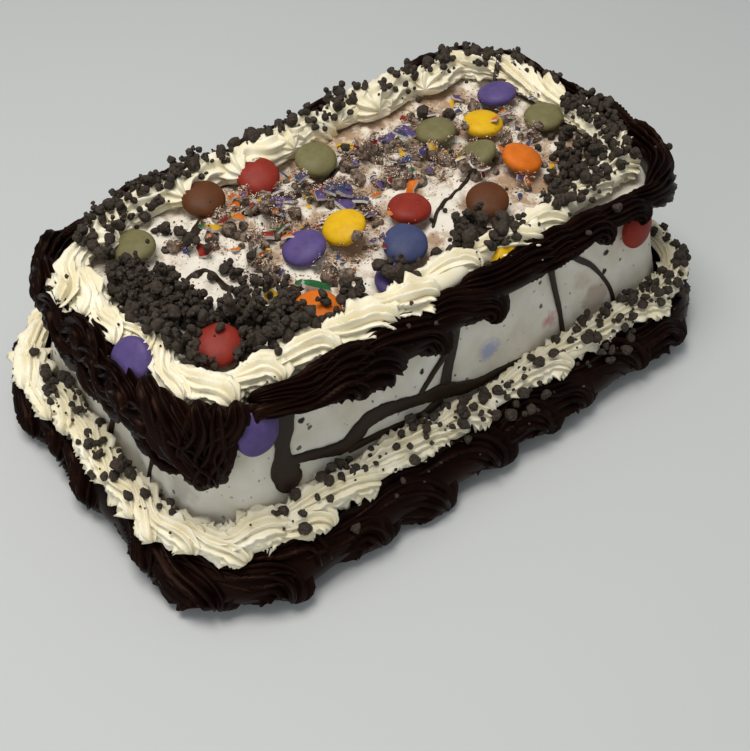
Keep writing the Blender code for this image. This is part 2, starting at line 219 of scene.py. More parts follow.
def ring_faces(rings, around):
    """Quads between closed rings of points that follow one another."""
    ring, step = np.meshgrid(np.arange(rings - 1), np.arange(around), indexing="ij")
    after = (step + 1) % around
    near, far = ring * around, (ring + 1) * around
    return np.stack([near + step, near + after, far + after, far + step], axis=-1).reshape(-1, 4)


def mottle(tree, shader, size, dark, light, low=0.0, high=1.0, **settings):
    """Gives a finish two colours, run together by noise of one size. It returns their socket."""
    place = node(tree, "TexCoord")
    blend = node(tree, "TexNoise", {"Vector": place.outputs["Object"]}, Scale=1 / size, **settings)
    body = node(tree, "ValToRGB", {"Fac": blend.outputs["Fac"]})
    for stop, position, shade in zip(body.color_ramp.elements, (low, high), (dark, light)):
        stop.position = position
        stop.color = paint(shade)
    tree.links.new(body.outputs["Color"], shader.inputs["Base Color"])
    return body.outputs["Color"]


# Frozen cream lets light in a little way, and its frosted skin is dull. Ground cookies show as dark specks.
ice_cream, tree, shader = finish(
    "frozen_cookies_and_cream",
    Roughness=0.55,
    IOR=1.35,
    Subsurface_Weight=0.25,
    Subsurface_Scale=2 * MM,
    Subsurface_Radius=(1.0, 0.8, 0.6),
)
place = node(tree, "TexCoord")
warp = node(tree, "TexNoise", {"Vector": place.outputs["Object"]}, Scale=1 / (1.6 * MM), Detail=3)
bent = node(
    tree,
    "MixRGB",
    {"Color1": place.outputs["Object"], "Color2": warp.outputs["Color"]},
    blend_type="ADD",
    Fac=0.0017,
)
# Ground cookie: spacing, least and greatest size as shares of it, colour and strength
SPECKS = [
    (2.6 * MM, -0.25, 0.22, "#857d70", 0.6),
    (5 * MM, -0.18, 0.21, "#453e36", 0.9),
    (9.5 * MM, -0.1, 0.16, "#211c18", 1.0),
]
colour = mottle(tree, shader, 14 * MM, "#d3cab6", "#eae5d8", 0.3, 0.7, Detail=5)
for spacing, least, greatest, shade, strength in SPECKS:
    cells = node(tree, "TexVoronoi", {"Vector": bent.outputs["Color"]}, Scale=1 / spacing)
    chance = node(tree, "SeparateXYZ", {"Vector": cells.outputs["Color"]})
    reach = node(tree, "MapRange", {"Value": chance.outputs["X"]}, To_Min=least, To_Max=greatest)
    gap = node(tree, "Math", {0: cells.outputs["Distance"], 1: reach.outputs["Result"]}, operation="SUBTRACT")
    soft_edge = {"From_Min": -0.03, "From_Max": 0.02, "To_Min": strength, "To_Max": 0}
    speck = node(tree, "MapRange", {"Value": gap.outputs["Value"]}, **soft_edge)
    layer = node(tree, "MixRGB", {"Fac": speck.outputs["Result"], "Color1": colour}, Color2=paint(shade))
    colour = layer.outputs["Color"]
# Sweets and fruit sauce that show faintly through the ice cream: place and size in mm, colour and strength
INCLUSIONS = [
    ((8.4, -58, 37.6), 4.5, "#7f8fc0", 0.65), ((38, -59, 35), 3.6, "#c0606c", 0.75),
    ((61, -59, 33), 7.0, "#7a5638", 0.5), ((54, -58, 44), 5.0, "#a88a68", 0.4),
    ((-78.7, -60, 47), 3.0, "#c98f60", 0.5), ((-84, -60, 25), 4.0, "#b9ae84", 0.4),
    ((-103, -40, 34), 6.0, "#8f877a", 0.45), ((-20, 59, 40), 5.0, "#c0606c", 0.5),
    ((40, 59, 30), 5.0, "#7f8fc0", 0.5), ((107, 10, 40), 5.0, "#c98f60", 0.5),
]
blot = node(tree, "TexNoise", {"Vector": place.outputs["Object"]}, Scale=1 / (3 * MM), Detail=3)
for (x, y, z), size, shade, strength in INCLUSIONS:
    away = node(tree, "VectorMath", {0: place.outputs["Object"]}, operation="DISTANCE")
    away.inputs[1].default_value = (x * MM, y * MM, z * MM)
    ragged = node(tree, "Math", {0: blot.outputs["Fac"], 2: away.outputs["Value"]}, operation="MULTIPLY_ADD")
    ragged.inputs[1].default_value = 6 * MM
    soft_edge = {"From_Min": (size + 1) * MM, "From_Max": (size + 4) * MM, "To_Min": strength, "To_Max": 0}
    seen = node(tree, "MapRange", {"Value": ragged.outputs["Value"]}, **soft_edge)
    layer = node(tree, "MixRGB", {"Fac": seen.outputs["Result"], "Color1": colour}, Color2=paint(shade))
    colour = layer.outputs["Color"]
tree.links.new(colour, shader.inputs["Base Color"])
roughen(tree, shader, 1.5 * MM, 0.25, 0.3 * MM, Detail=5)


def loaf_half(height):
    """Half length and half width of the loaf at a height."""
    share = height / LOAF_HEIGHT
    return [foot + (rim - foot) * share for foot, rim in zip(FOOT, RIM)]


rings = []
profile = [(height, 0.0) for height in np.linspace(0, LOAF_HEIGHT - RIM_ROUNDING, LOAF_ROWS)]
profile += [
    (LOAF_HEIGHT - RIM_ROUNDING * (1 - math.sin(bend)), RIM_ROUNDING * (1 - math.cos(bend)))
    for bend in np.linspace(0.2, math.pi / 2, 7)
]
profile += [(LOAF_HEIGHT, inset * MM) for inset in (6, 10, 16, 23)]
for height, inset in profile:
    half_x, half_y = loaf_half(height)
    line = rounded_line(half_x - inset, half_y - inset, max(CORNER - inset, 1 * MM))
    points, facing = on_line(line, np.linspace(0, line[0][-1], LOAF_COLUMNS, endpoint=False))
    points[:, 2] = height
    dents = 0.35 * MM * ripples(points, 22 * MM, 3) + 0.12 * MM * ripples(points, 6 * MM, 4)
    free = min(max(height / (8 * MM), 0), 1) * (height < LOAF_HEIGHT - 6 * MM)
    rings.append(points + facing * (dents * free - 0.3 * MM * (free > 0))[:, None])
points = np.concatenate(rings)
faces = ring_faces(len(rings), LOAF_COLUMNS).tolist()
faces.append(list(range(LOAF_COLUMNS))[::-1])
faces.append(list(range(len(points) - LOAF_COLUMNS, len(points))))
loaf = piece("ice_cream_loaf_surface", points, faces, ice_cream, stands_for="ice_cream_loaf")

# ---------------------------------------------------------------- the layer on top
# Soft ice cream spread over the loaf's top and left in lumps, dusted with grated chocolate in its middle.
# It is the bed in which buttons, crumbs and broken shells lie.

TOP_STEP = 0.9 * MM
TOP_HALF = (91 * MM, 42.5 * MM)
BED_HEIGHT = 66.4 * MM
HIGHEST_LUMP = 4.2 * MM
# Lumps that stand out of the toppings: x, y, radius and height in mm
LUMPS = [
    (-55, 22, 9, 3.4), (-62, 10, 8, 3.6), (-68, 0, 6.5, 4.4), (-49, 8, 9, 4.0), (-62, 30, 9, 3.6),
    (-30, 22, 8, 3.0), (-66, -10, 6, 3.2), (-22, 16, 9, 2.6), (-12, 22, 9, 2.2), (10, 20, 9, 2.4),
    (22, 14, 8, 2.0), (-36, -24, 8, 2.4), (-22, -26, 8, 2.2), (18, -22, 9, 2.8), (24, -10, 9, 2.4),
    (36, -12, 8, 2.2), (66, 22, 8, 2.6), (70, 4, 7, 2.0), (34, 27, 7, 2.4), (20, 3, 8, 1.8),
    (8, 2, 8, 1.6), (-8, 4, 9, 1.8), (-40, -14, 8, 2.0), (52, 28, 6, 2.2), (86, 12, 6, 2.0),
]

columns = int(2 * TOP_HALF[0] / TOP_STEP)
rows = int(2 * TOP_HALF[1] / TOP_STEP)
sides = [np.linspace(-half, half, steps) for half, steps in zip(TOP_HALF, (columns, rows))]
across, deep = np.meshgrid(*sides, indexing="ij")
points = np.stack([across.ravel(), deep.ravel(), np.zeros(across.size)], 1)
height = 0.6 * MM * ripples(points, 12 * MM, 11) + 0.28 * MM * ripples(points, 4 * MM, 12)
for x, y, radius, rise in LUMPS:
    away = np.hypot(points[:, 0] - x * MM, points[:, 1] - y * MM) / (radius * MM)
    ragged = 0.2 * ripples(points, 5 * MM, int(x + 200))
    height += rise * MM * np.clip(1 - away + ragged, 0, 1) ** 0.6 * 0.8
points[:, 2] = BED_HEIGHT + np.minimum(height, HIGHEST_LUMP)
index = np.arange(columns * rows).reshape(columns, rows)
quads = np.stack([index[:-1, :-1], index[1:, :-1], index[1:, 1:], index[:-1, 1:]], -1).reshape(-1, 4)
# Ice cream that has begun to soften, smooth and white where it is bare and brown where chocolate dust lies
spread, tree, shader = finish(
    "spread_ice_cream", Roughness=0.5, IOR=1.35, Subsurface_Weight=0.1, Subsurface_Scale=1 * MM
)
place = node(tree, "TexCoord")
fine = {"Scale": 1 / (6 * MM), "Detail": 5, "Roughness": 0.7}
patches = node(tree, "TexNoise", {"Vector": place.outputs["Object"]}, **fine)
spot = node(tree, "SeparateXYZ", {"Vector": place.outputs["Object"]})
# Dust gathers in the hollows, and the lumps stay white. Less of it fell by the left end.
lifted = {"From_Min": 66 * MM, "From_Max": 69 * MM, "To_Min": -0.16, "To_Max": 0.3}
raised = node(tree, "MapRange", {"Value": spot.outputs["Z"]}, **lifted)
by_the_end = {"From_Min": -54 * MM, "From_Max": -34 * MM, "To_Min": 0.22, "To_Max": 0}
bare = node(tree, "MapRange", {"Value": spot.outputs["X"]}, **by_the_end)
cleaner = node(tree, "Math", {0: patches.outputs["Fac"], 1: raised.outputs["Result"]}, operation="ADD")
clean = node(tree, "Math", {0: cleaner.outputs["Value"], 1: bare.outputs["Result"]}, operation="ADD")
body = node(tree, "ValToRGB", {"Fac": clean.outputs["Value"]})
body.color_ramp.elements[0].position = 0.36
body.color_ramp.elements[0].color = paint("#a88c70")
body.color_ramp.elements[1].position = 0.56
body.color_ramp.elements[1].color = paint("#e2dacb")
cells = node(tree, "TexVoronoi", {"Vector": place.outputs["Object"]}, Scale=1 / (1.7 * MM))
soft_edge = {"From_Min": 0.13, "From_Max": 0.2, "To_Min": 1, "To_Max": 0}
speck = node(tree, "MapRange", {"Value": cells.outputs["Distance"]}, **soft_edge)
layers = {"Fac": speck.outputs["Result"], "Color1": body.outputs["Color"]}
dotted = node(tree, "MixRGB", layers, Color2=paint("#5c4438"))
tree.links.new(dotted.outputs["Color"], shader.inputs["Base Color"])
roughen(tree, shader, 1.2 * MM, 0.35, 0.4 * MM, Detail=4)
under = points.copy()
under[:, 2] = LOAF_HEIGHT - 1 * MM
edge = np.concatenate([index[:, 0], index[-1, 1:], index[-2::-1, -1], index[0, -2:0:-1]])
count = len(points)
following = np.roll(edge, -1)
walls = np.stack([edge, edge + count, following + count, following], -1)
bed_faces = np.concatenate([quads, quads[:, ::-1] + count, walls])
bed_points = np.concatenate([points, under])
bed = piece("ice_cream_top_layer", bed_points, bed_faces, spread)

# ---------------------------------------------------------------- the piped borders
# Chocolate frosting and whipped cream, squeezed through a star nozzle in overlapping strokes.
# The nozzle's teeth leave ridges along each stroke, which ends in a fat head that curls outward and down.

# A stroke's section, as angles from its crest: ridged to either side as far as the arc, and plain beneath
RIDGED_ARC = 2.3
RIDGED_STEPS = 70
SECTION = np.concatenate([
    np.linspace(-math.pi, -RIDGED_ARC, 5, endpoint=False),
    np.linspace(-RIDGED_ARC, RIDGED_ARC, RIDGED_STEPS),
    np.linspace(RIDGED_ARC, math.pi, 6)[1:-1],
])


def stroke(spine, facing, share, half_width, thickness, style, rng):
    """One squeezed stroke: sections with ridges on the outer side, along a spine, closed at both ends."""
    stations = len(spine)
    around = len(SECTION)
    ridges = style["ridges"]
    along = np.gradient(spine, axis=0)
    along /= np.linalg.norm(along, axis=1)[:, None]
    up = facing - along * np.sum(facing * along, axis=1)[:, None]
    up /= np.linalg.norm(up, axis=1)[:, None]
    side = np.cross(along, up)
    share = share[:, None]
    angle = SECTION[None, :]
    wander = style["twist"] * (share - 0.5) * rng.uniform(-1, 1)
    sway = share * rng.uniform(8, 13) + rng.uniform(0, math.tau) + 0.6 * angle
    wander = wander + style["meander"] * np.sin(sway)
    phase = (angle / RIDGED_ARC + 1) * ridges / 2 + wander + ridges
    number = np.floor(phase).astype(int) % (ridges + 3)
    crest = (1 - np.abs(2 * (phase % 1) - 1)) ** style["sharp"]
    on_top = np.clip((RIDGED_ARC - np.abs(angle)) / 0.25, 0, 1)
    nicks = rng.normal(size=(stations, ridges + 3))
    nicks = 0.6 * nicks + 0.4 * np.roll(nicks, 1, 0)
    edge = style["frill"] * (0.3 + 0.7 * np.abs(np.sin(angle)) ** 2)
    torn = 1 + edge * nicks[np.arange(stations)[:, None], number] * crest
    strength = rng.uniform(0.7, 1.25, size=ridges + 3)[number]
    relief = 1 - style["groove"] * (1 - crest * strength * np.clip(torn, 0.1, 2)) * on_top
    low = np.where(np.cos(angle) < 0, 0.6, 1.0)
    out = side[:, None, :] * (half_width[:, None] * np.sin(angle) * relief)[..., None]
    rise = up[:, None, :] * (thickness[:, None] * np.cos(angle) * relief * low)[..., None]
    lobes = rng.uniform(0.2, 1.8, size=ridges + 3)[number]
    near_head = np.clip((share - 0.7) / 0.3, 0, 1) ** 1.5
    reach = half_width[:, None] * style["lobes"] * crest * lobes * near_head * on_top
    shell = spine[:, None, :] + out + rise + along[:, None, :] * reach[..., None]
    points = np.concatenate([shell.reshape(-1, 3), spine[:1], spine[-1:]])
    faces = ring_faces(stations, around)
    tip = len(points) - 2
    last = (stations - 1) * around
    step = np.arange(around)
    after = (step + 1) % around
    at_start = np.stack([np.full(around, tip), after, step], 1)
    at_end = np.stack([np.full(around, tip + 1), last + step, last + after], 1)
    return points, faces, np.concatenate([at_start, at_end])


FATTEST = 0.72
ROUNDED_END = 0.16


def swell(share, tail):
    """A stroke's width along it: thin at the tail, fattest near the head, and rounded off at its ends."""
    growing = tail + (1 - tail) * np.sin(np.clip(share / FATTEST, 0, 1) * math.pi / 2) ** 1.2
    rounding = np.sqrt(np.clip(1 - (np.clip(share - (1 - ROUNDED_END), 0, 1) / ROUNDED_END) ** 2, 0.03, 1))
    starting = np.sqrt(np.clip(1 - (np.clip(ROUNDED_END - share, 0, 1) / ROUNDED_END) ** 2, 0.02, 1))
    return growing * rounding * starting


def lie_of(shape, at, outward):
    """A border at points on its line: its middle, its face, the way down it, half widths and thicknesses."""
    out, high, half_width, thickness, tilt = shape(at)
    upward = np.array([[0.0, 0.0, 1.0]])
    middle = at + outward * out[:, None] + upward * high[:, None]
    facing = outward * np.cos(tilt)[:, None] + upward * np.sin(tilt)[:, None]
    downward = outward * np.sin(tilt)[:, None] - upward * np.cos(tilt)[:, None]
    return middle, facing, downward, half_width, thickness


def lay_stroke(line, start, plan, shape, style, rng):
    """
    Lays one stroke on a border. The plan gives its length and how far down it starts, in mm, its headings
    at both ends, its wave, its final curl and where its wave begins. The shape gives the border's form.
    """
    length, slide, heading_from, heading_to, wave, curl, phase = plan
    count = max(int(length * MM / style["step"]), 16)
    share = 1 - (1 - np.linspace(0, 1, count)) ** 1.35
    curling = np.clip((share - 0.66) / 0.34, 0, 1) ** 1.4
    heading = heading_from + (heading_to - heading_from) * share + curl * curling
    heading = heading + wave * np.sin(share * math.tau * style["waves"] + phase)
    walk = np.diff(share, prepend=0) * length * MM
    advance = np.cumsum(np.cos(heading) * walk)
    slide = slide * MM + np.cumsum(np.sin(heading) * walk)
    middle, facing, downward, half_width, thickness = lie_of(shape, *on_line(line, start + advance))
    tucked = (1 - np.clip(share / 0.35, 0, 1)) ** 2
    spine = middle + downward * slide[:, None]
    spine = spine - facing * (style["tuck"] * tucked)[:, None]
    size = swell(share, style["tail"]) * rng.uniform(0.9, 1.12)
    return stroke(spine, facing, share, half_width * size, thickness * size, style, rng)


def nearest_on(line, places):
    """Distances along a line of the points on it that are nearest to places, which are in mm."""
    walked = np.linspace(0, line[0][-1], 1500)
    points = on_line(line, walked)[0]
    return [walked[np.argmin(np.hypot(points[:, 0] - x * MM, points[:, 1] - y * MM))] for x, y in places]


# Butter and cocoa whipped together: nearly black, with a greasy brown sheen on its ridges
frosting, tree, shader = finish(
    "chocolate_frosting", Roughness=0.4, IOR=1.45, Specular_IOR_Level=0.17, Specular_Tint=paint("#cf9c86")
)
mottle(tree, shader, 9 * MM, "#0b0403", "#180a06", 0.35, 0.7, Detail=4)
roughen(tree, shader, 0.8 * MM, 0.12, 0.2 * MM, Detail=3)

# Whipped cream is full of fine bubbles: ivory, softly lit from within, with a fine dull skin
whipped, tree, shader = finish(
    "whipped_cream",
    Roughness=0.45,
    IOR=1.4,
    Subsurface_Weight=0.07,
    Subsurface_Scale=0.4 * MM,
    Subsurface_Radius=(1.0, 0.75, 0.45),
)
mottle(tree, shader, 7 * MM, "#e4dab9", "#eee7d1", 0.35, 0.65, Detail=3)
roughen(tree, shader, 0.9 * MM, 0.22, 0.25 * MM, Detail=4)

# How strokes are squeezed: the ridges' number, depth, sharpness and frill, the tail's width, how far the
# ridges twist and meander, and reach past the head, the tail's depth, the waves in a stroke, and its step
CREAM_STYLE = dict(
    ridges=9, groove=0.5, sharp=1.3, frill=0.55, tail=0.45, twist=1.6, meander=0.12, lobes=0.2,
    tuck=1.2 * MM, waves=1.1, step=1.15 * MM,
)
FAT_CREAM_STYLE = dict(CREAM_STYLE, ridges=7, groove=0.36, frill=0.35, tail=0.95, tuck=7 * MM, meander=0.3)
FROSTING_STYLE = dict(
    CREAM_STYLE, ridges=10, groove=0.44, sharp=1.15, frill=0.06, tail=0.6, twist=2.2, meander=0.3, lobes=0.14,
    tuck=2 * MM, step=1.5 * MM,
)
RUFFLE_STYLE = dict(
    FROSTING_STYLE, ridges=7, groove=0.5, sharp=1.0, twist=0.8, meander=0.4, tail=0.65, lobes=0.05,
    tuck=3 * MM, waves=2.2,
)
FOLD_STYLE = dict(RUFFLE_STYLE, ridges=6, meander=0.25, waves=1.4, step=1.3 * MM)
upper_line = rounded_line(105 * MM, 56 * MM, 26 * MM)
# The upper frosting's lower and upper edge: x, y and two heights in mm
HANGING = [
    (100, 52, 54, 70), (60, 56, 54, 68), (30, 56, 56, 68), (0, 56, 54, 68), (-30, 56, 56, 68),
    (-60, 56, 54, 68), (-90, 52, 52, 68), (-104, 34, 56, 70), (-104, 26, 47, 70), (-104, 14, 45, 70),
    (-104, 0, 40, 70), (-104, -17, 42, 70), (-104, -30, 43, 70), (-101, -44, 42, 69), (-94, -51, 39, 70),
    (-89, -55, 52, 71), (-85, -56, 64, 72), (-76, -56, 64, 72), (-58, -56, 58, 72), (-42, -56, 54, 72),
    (-26, -56, 51, 72), (-9, -56, 55, 72), (8, -56, 58, 72), (18, -56, 58, 72), (28, -56, 58, 72),
    (44, -56, 60, 72), (56, -56, 61, 72), (69, -56, 62, 72), (84, -56, 60, 72), (92, -55, 56, 72),
    (104, -36, 52, 72), (105, 0, 52, 72), (105, 30, 54, 71),
]
# The upper cream: x, y, how far outward its middle lies and its half width in mm
CREAM_EDGE = [
    (90, 40, 0, 7.5), (60, 46, 0, 8), (0, 46, 0, 8), (-50, 46, -1, 7.5), (-78, 46, -4, 6.2),
    (-93, 40, -4.5, 6), (-96, 28, 1, 5.8), (-96, 18, 3.5, 5.8), (-96, 4, 3.5, 5.4), (-96, -7, 0, 4.6),
    (-96, -15, -2.5, 4), (-96, -24, 0.2, 5), (-94, -36, 2.8, 6.2), (-86, -44, 0.6, 6.4),
    (-76, -46, -1.8, 6.4), (-60, -46, -1.8, 6.4), (-45, -46, -0.5, 7.2), (-30, -46, 1, 7.8),
    (-8, -46, 1, 7.2), (10, -46, -1, 6.4), (18, -46, 1.6, 7.6), (28, -46, 1.2, 7.6), (38, -46, 0, 7.2),
    (54, -46, -3, 6.6), (80, -46, -4, 6.2), (94, -36, -3, 6.6), (95, 0, 0, 7),
]


def read_along(line, table):
    """A reader of values in mm that a table gives at places on a line. It takes points on the line."""
    places = np.array(nearest_on(line, [row[:2] for row in table]))
    order = np.argsort(places)
    values = np.array([row[2:] for row in table], float)[order].T * MM

    def read(at):
        walked = np.array(nearest_on(line, at[:, :2] / MM))
        return [np.interp(walked, places[order], value, period=line[0][-1]) for value in values]

    return read


hanging = read_along(upper_line, HANGING)
upper_cream_line = rounded_line(95.5 * MM, 46 * MM, 20 * MM)
cream_edge = read_along(upper_cream_line, CREAM_EDGE)


# A border's shape is how far outward and how high its middle lies, its half width, its thickness and the
# upward tilt of its face, at each of some points on its line.
def all_along(at, *values):
    """Values that are the same at all points."""
    return [np.full(len(at), float(value)) for value in values]


def lower_chocolate_shape(at):
    high, half_width, thickness, tilt = all_along(at, 11 * MM, 10.4 * MM, 8 * MM, 0.72)
    # It spreads farther at the near left corner
    spread = np.exp(-((np.hypot(at[:, 0] + 112 * MM, at[:, 1] + 66 * MM) / (26 * MM)) ** 2))
    return (1.2 + 1.8 * spread) * MM, high, half_width, thickness, tilt


def lower_cream_shape(at):
    return all_along(at, 0, 24 * MM, 6.3 * MM, 5.2 * MM, 0.9)


def upper_chocolate_shape(at):
    lowest, highest_edge = hanging(at)
    half = np.clip((highest_edge - lowest) / 2, 4.2 * MM, 9 * MM)
    # It keeps in at the far left corner
    far = np.exp(-((np.hypot(at[:, 0] + 98 * MM, at[:, 1] - 50 * MM) / (22 * MM)) ** 2))
    return -3.2 * MM * far, highest_edge - half, half, 0.45 * half + 3.0 * MM, 0.36 + 0 * half


def ruffle_shape(at):
    # It dips under the sweet that is pressed in at the left end
    dip = np.exp(-(((at[:, 1] + 14 * MM) / (11 * MM)) ** 2)) * (at[:, 0] < -90 * MM)
    far = np.clip((at[:, 1] - 20 * MM) / (20 * MM), 0, 1)
    thickness, tilt = all_along(at, 5.4 * MM, 0.2)
    return (1.4 - 2.6 * far) * MM, (65 - 3.6 * dip) * MM, (7.2 - 0.8 * dip) * MM, thickness, tilt


def low_ruffle_shape(at):
    return all_along(at, 1.8 * MM, 55.5 * MM, 6.2 * MM, 5.2 * MM, 0.1)


def fold_shape(at):
    return all_along(at, 2.4 * MM, 69 * MM, 6 * MM, 5.2 * MM, 0.15)


def upper_cream_shape(at):
    outward, half = cream_edge(at)
    return outward, 70 * MM + 0 * half, half, 0.92 * half, 1.35 + 0 * half


def strokes_along(line, first, last, spacing, rng):
    """Starting points of strokes between two distances along a line, unevenly spaced."""
    count = max(round((last - first) / spacing), 1)
    return first + (np.arange(count) + rng.uniform(-0.2, 0.2, count)) * (last - first) / count


def lay_border(line, parts, shape, style, rng):
    """Strokes along parts of a border. A part has its ends, its spacing and its strokes' ranges of plans."""
    made = []
    for first, last, spacing, *ranges in parts:
        for start in strokes_along(line, first, last, spacing * MM, rng):
            made.append(lay_stroke(line, start, [rng.uniform(*each) for each in ranges], shape, style, rng))
    return made


def bead(line, shape, share):
    """A plain bead all along a border, under its strokes. It has a stroke's parts: points, sides and ends."""
    count = int(line[0][-1] / (2 * MM))
    at, outward = on_line(line, np.linspace(0, line[0][-1], count, endpoint=False))
    middle, facing, downward, half_width, thickness = lie_of(shape, at, outward)
    uneven = share * (1 + 0.06 * ripples(at, 12 * MM, 17))
    turn = np.linspace(0, math.tau, 20, endpoint=False)
    raised = facing[:, None, :] * (thickness * uneven)[:, None, None] * np.cos(turn)[None, :, None]
    widened = downward[:, None, :] * (half_width * uneven)[:, None, None] * np.sin(turn)[None, :, None]
    shell = middle[:, None, :] + raised - widened
    faces = ring_faces(count, len(turn))
    last = np.arange(len(turn))
    around = (last + 1) % len(turn)
    closing = (count - 1) * len(turn)
    joint = np.stack([closing + last, closing + around, around, last], 1)
    return shell.reshape(-1, 3), faces, joint


def add_border(name, made, material):
    """Joins strokes into one piece that stands for a border's solid, and keeps it inside the cake's box."""
    points, faces, offset = [], [], 0
    for shell, sides, ends in made:
        points.append(shell)
        faces += (sides + offset).tolist() + (ends + offset).tolist()
        offset += len(shell)
    points = np.concatenate(points)
    points[:, 2] = np.clip(points[:, 2], 0.05 * MM, cad_high[2])
    for axis in (0, 1):
        points[:, axis] = np.clip(points[:, axis], cad_low[axis], cad_high[axis])
    piped[name] = piece(name + "_strokes", points, faces, material, stands_for=name)


piped = {}
AT_ANY_PHASE = (0, math.tau)
rng = np.random.default_rng(40)
line = rounded_line(113.5 * MM, 69.5 * MM, 32 * MM)
corner = nearest_on(line, [(-106, -62)])[0]
parts = [
    (0, line[0][-1], 25, (42, 52), (-6, -4), (0, 0.15), (0.2, 0.4), (0.12, 0.12), (0.9, 1.8), AT_ANY_PHASE),
    (corner - 24 * MM, corner + 20 * MM, 13, (30, 36), (-7, -5), (0, 0.15), (0.2, 0.4), (0.3, 0.3),
     (0.5, 1.1), AT_ANY_PHASE),
]
made = lay_border(line, parts, lower_chocolate_shape, FROSTING_STYLE, rng)
made.append(bead(line, lower_chocolate_shape, 0.75))
add_border("lower_chocolate_border", made, frosting)

start, end = nearest_on(upper_line, [(-98, 50), (-84, -56)])
parts = [
    (end - 6 * MM, start + upper_line[0][-1], 22, (36, 50), (-3, -1), (-0.25, 0.05), (0.05, 0.3),
     (0.22, 0.22), (1.2, 2.6), AT_ANY_PHASE),
]
made = lay_border(upper_line, parts, upper_chocolate_shape, FROSTING_STYLE, rng)
made.append(bead(upper_line, upper_chocolate_shape, 0.62))
# Two lie high, over the near corner's right and over the sweet at the rim
for x, length, slide in ((-86, 44, -4.5), (-4, 40, -6)):
    place = nearest_on(upper_line, [(x, -56)])[0]
    plan = (length, slide, 0, 0.12, 0.2, 0.6, 0)
    made.append(lay_stroke(upper_line, place, plan, upper_chocolate_shape, FROSTING_STYLE, rng))
# At the left end they lie in two slack rows
for first, last, shape in ((-12, -34, ruffle_shape), (16, -38, low_ruffle_shape)):
    parts = [
        (start + first * MM, end + last * MM, 12, (34, 42), (-2, 1), (0, 0.2), (0.1, 0.35), (0.7, 0.9),
         (-0.3, 0.5), AT_ANY_PHASE),
    ]
    made += lay_border(upper_line, parts, shape, RUFFLE_STYLE, rng)
# At the near left corner they run down the side: x, y, length in mm, headings at both ends and curl
FOLDS = [
    (-104, -28, 32, 0.5, 0.9, 0.2), (-104, -34, 31, 0.8, 1.2, 0.2), (-103, -40, 31, 1.1, 1.4, 0.1),
    (-100, -47, 30, 1.4, 1.6, -0.3), (-96, -52, 30, 1.7, 1.8, -0.5), (-91, -55, 28, 1.8, 2.2, -0.9),
]
for x, y, length, heading_from, heading_to, curl in FOLDS:
    place = nearest_on(upper_line, [(x, y)])[0]
    plan = (length, rng.uniform(-5.5, -4), heading_from, heading_to, 0.4, curl, rng.uniform(0, math.tau))
    made.append(lay_stroke(upper_line, place, plan, fold_shape, FOLD_STYLE, rng))
add_border("upper_chocolate_border", made, frosting)

# Long strokes along the sides, and short fans at the left end and round its corners
line = rounded_line(114.5 * MM, 66 * MM, 28 * MM)
start, end = nearest_on(line, [(-95, 66), (-84, -67)])
parts = [
    (start, end, 13, (24, 30), (-3, -1), (-0.1, 0.1), (0.1, 0.4), (0.1, 0.3), (0.4, 1.2), AT_ANY_PHASE),
    (end, start + line[0][-1], 26, (38, 48), (-2.5, -1), (-0.08, 0.02), (0.02, 0.14), (0.06, 0.06),
     (0.2, 0.9), AT_ANY_PHASE),
]
made = lay_border(line, parts, lower_cream_shape, CREAM_STYLE, rng)
made.append(bead(line, lower_cream_shape, 0.55))
add_border("lower_cream_border", made, whipped)

# On the far side they are fat, and curl inward
line = upper_cream_line
far, start, end = nearest_on(line, [(88, 44), (-90, 44), (-78, -46)])
part = (far, start, 21, (30, 36), (-1, 1.5), (0, 0.2), (-0.5, -0.2), (0.1, 0.3), (-1.8, -0.8), AT_ANY_PHASE)
made = lay_border(line, [part], upper_cream_shape, FAT_CREAM_STYLE, rng)
parts = [
    (start, end, 14, (23, 29), (-2, -0.5), (-0.1, 0.1), (0.2, 0.5), (0.1, 0.3), (0.7, 1.7), AT_ANY_PHASE),
    (end, far + line[0][-1], 20, (28, 36), (-2, 0), (-0.1, 0.1), (0.05, 0.25), (0.14, 0.14), (0.5, 1.5),
     AT_ANY_PHASE),
]
made += lay_border(line, parts, upper_cream_shape, CREAM_STYLE, rng)
made.append(bead(line, upper_cream_shape, 0.6))
add_border("upper_cream_border", made, whipped)

# ---------------------------------------------------------------- chocolate buttons
# Lens-shaped sweets with a thin sugar shell. The cold has dulled their shine, and crumbs have dusted them.
# Each lies where its solid lies: middle and slant are read from the solid's own points.

BUTTON_RADIUS = 7.5 * MM
BUTTON_HALF_THICKNESS = 3.1 * MM
# Each colour's light and dark tone
SHELLS = {
    "red": ("#8a2c1f", "#7a2419"),
    "orange": ("#d16e1a", "#c26013"),
    "purple": ("#594a7c", "#4d3f6d"),
    "yellow": ("#d9ac17", "#cb9c0f"),
    "blue": ("#3f4668", "#383f5e"),
    "brown": ("#5a3216", "#4e2b13"),
    "green": ("#746e48", "#686242"),
    "leaf": ("#2c6a3a", "#225530"),
}
# Hard panned sugar: even colour with faint mottling, and a soft sheen where it would be glossy when warm
shell_finishes = {}
for name, (light, dark) in SHELLS.items():
    made, tree, shader = finish(f"{name}_sugar_shell", Roughness=0.5, IOR=1.45, Specular_IOR_Level=0.2)
    mottle(tree, shader, 4 * MM, dark, light, 0.35, 0.65, Detail=5, Roughness=0.7)
    roughen(tree, shader, 0.7 * MM, 0.08, 0.1 * MM, Detail=3)
    shell_finishes[name] = made

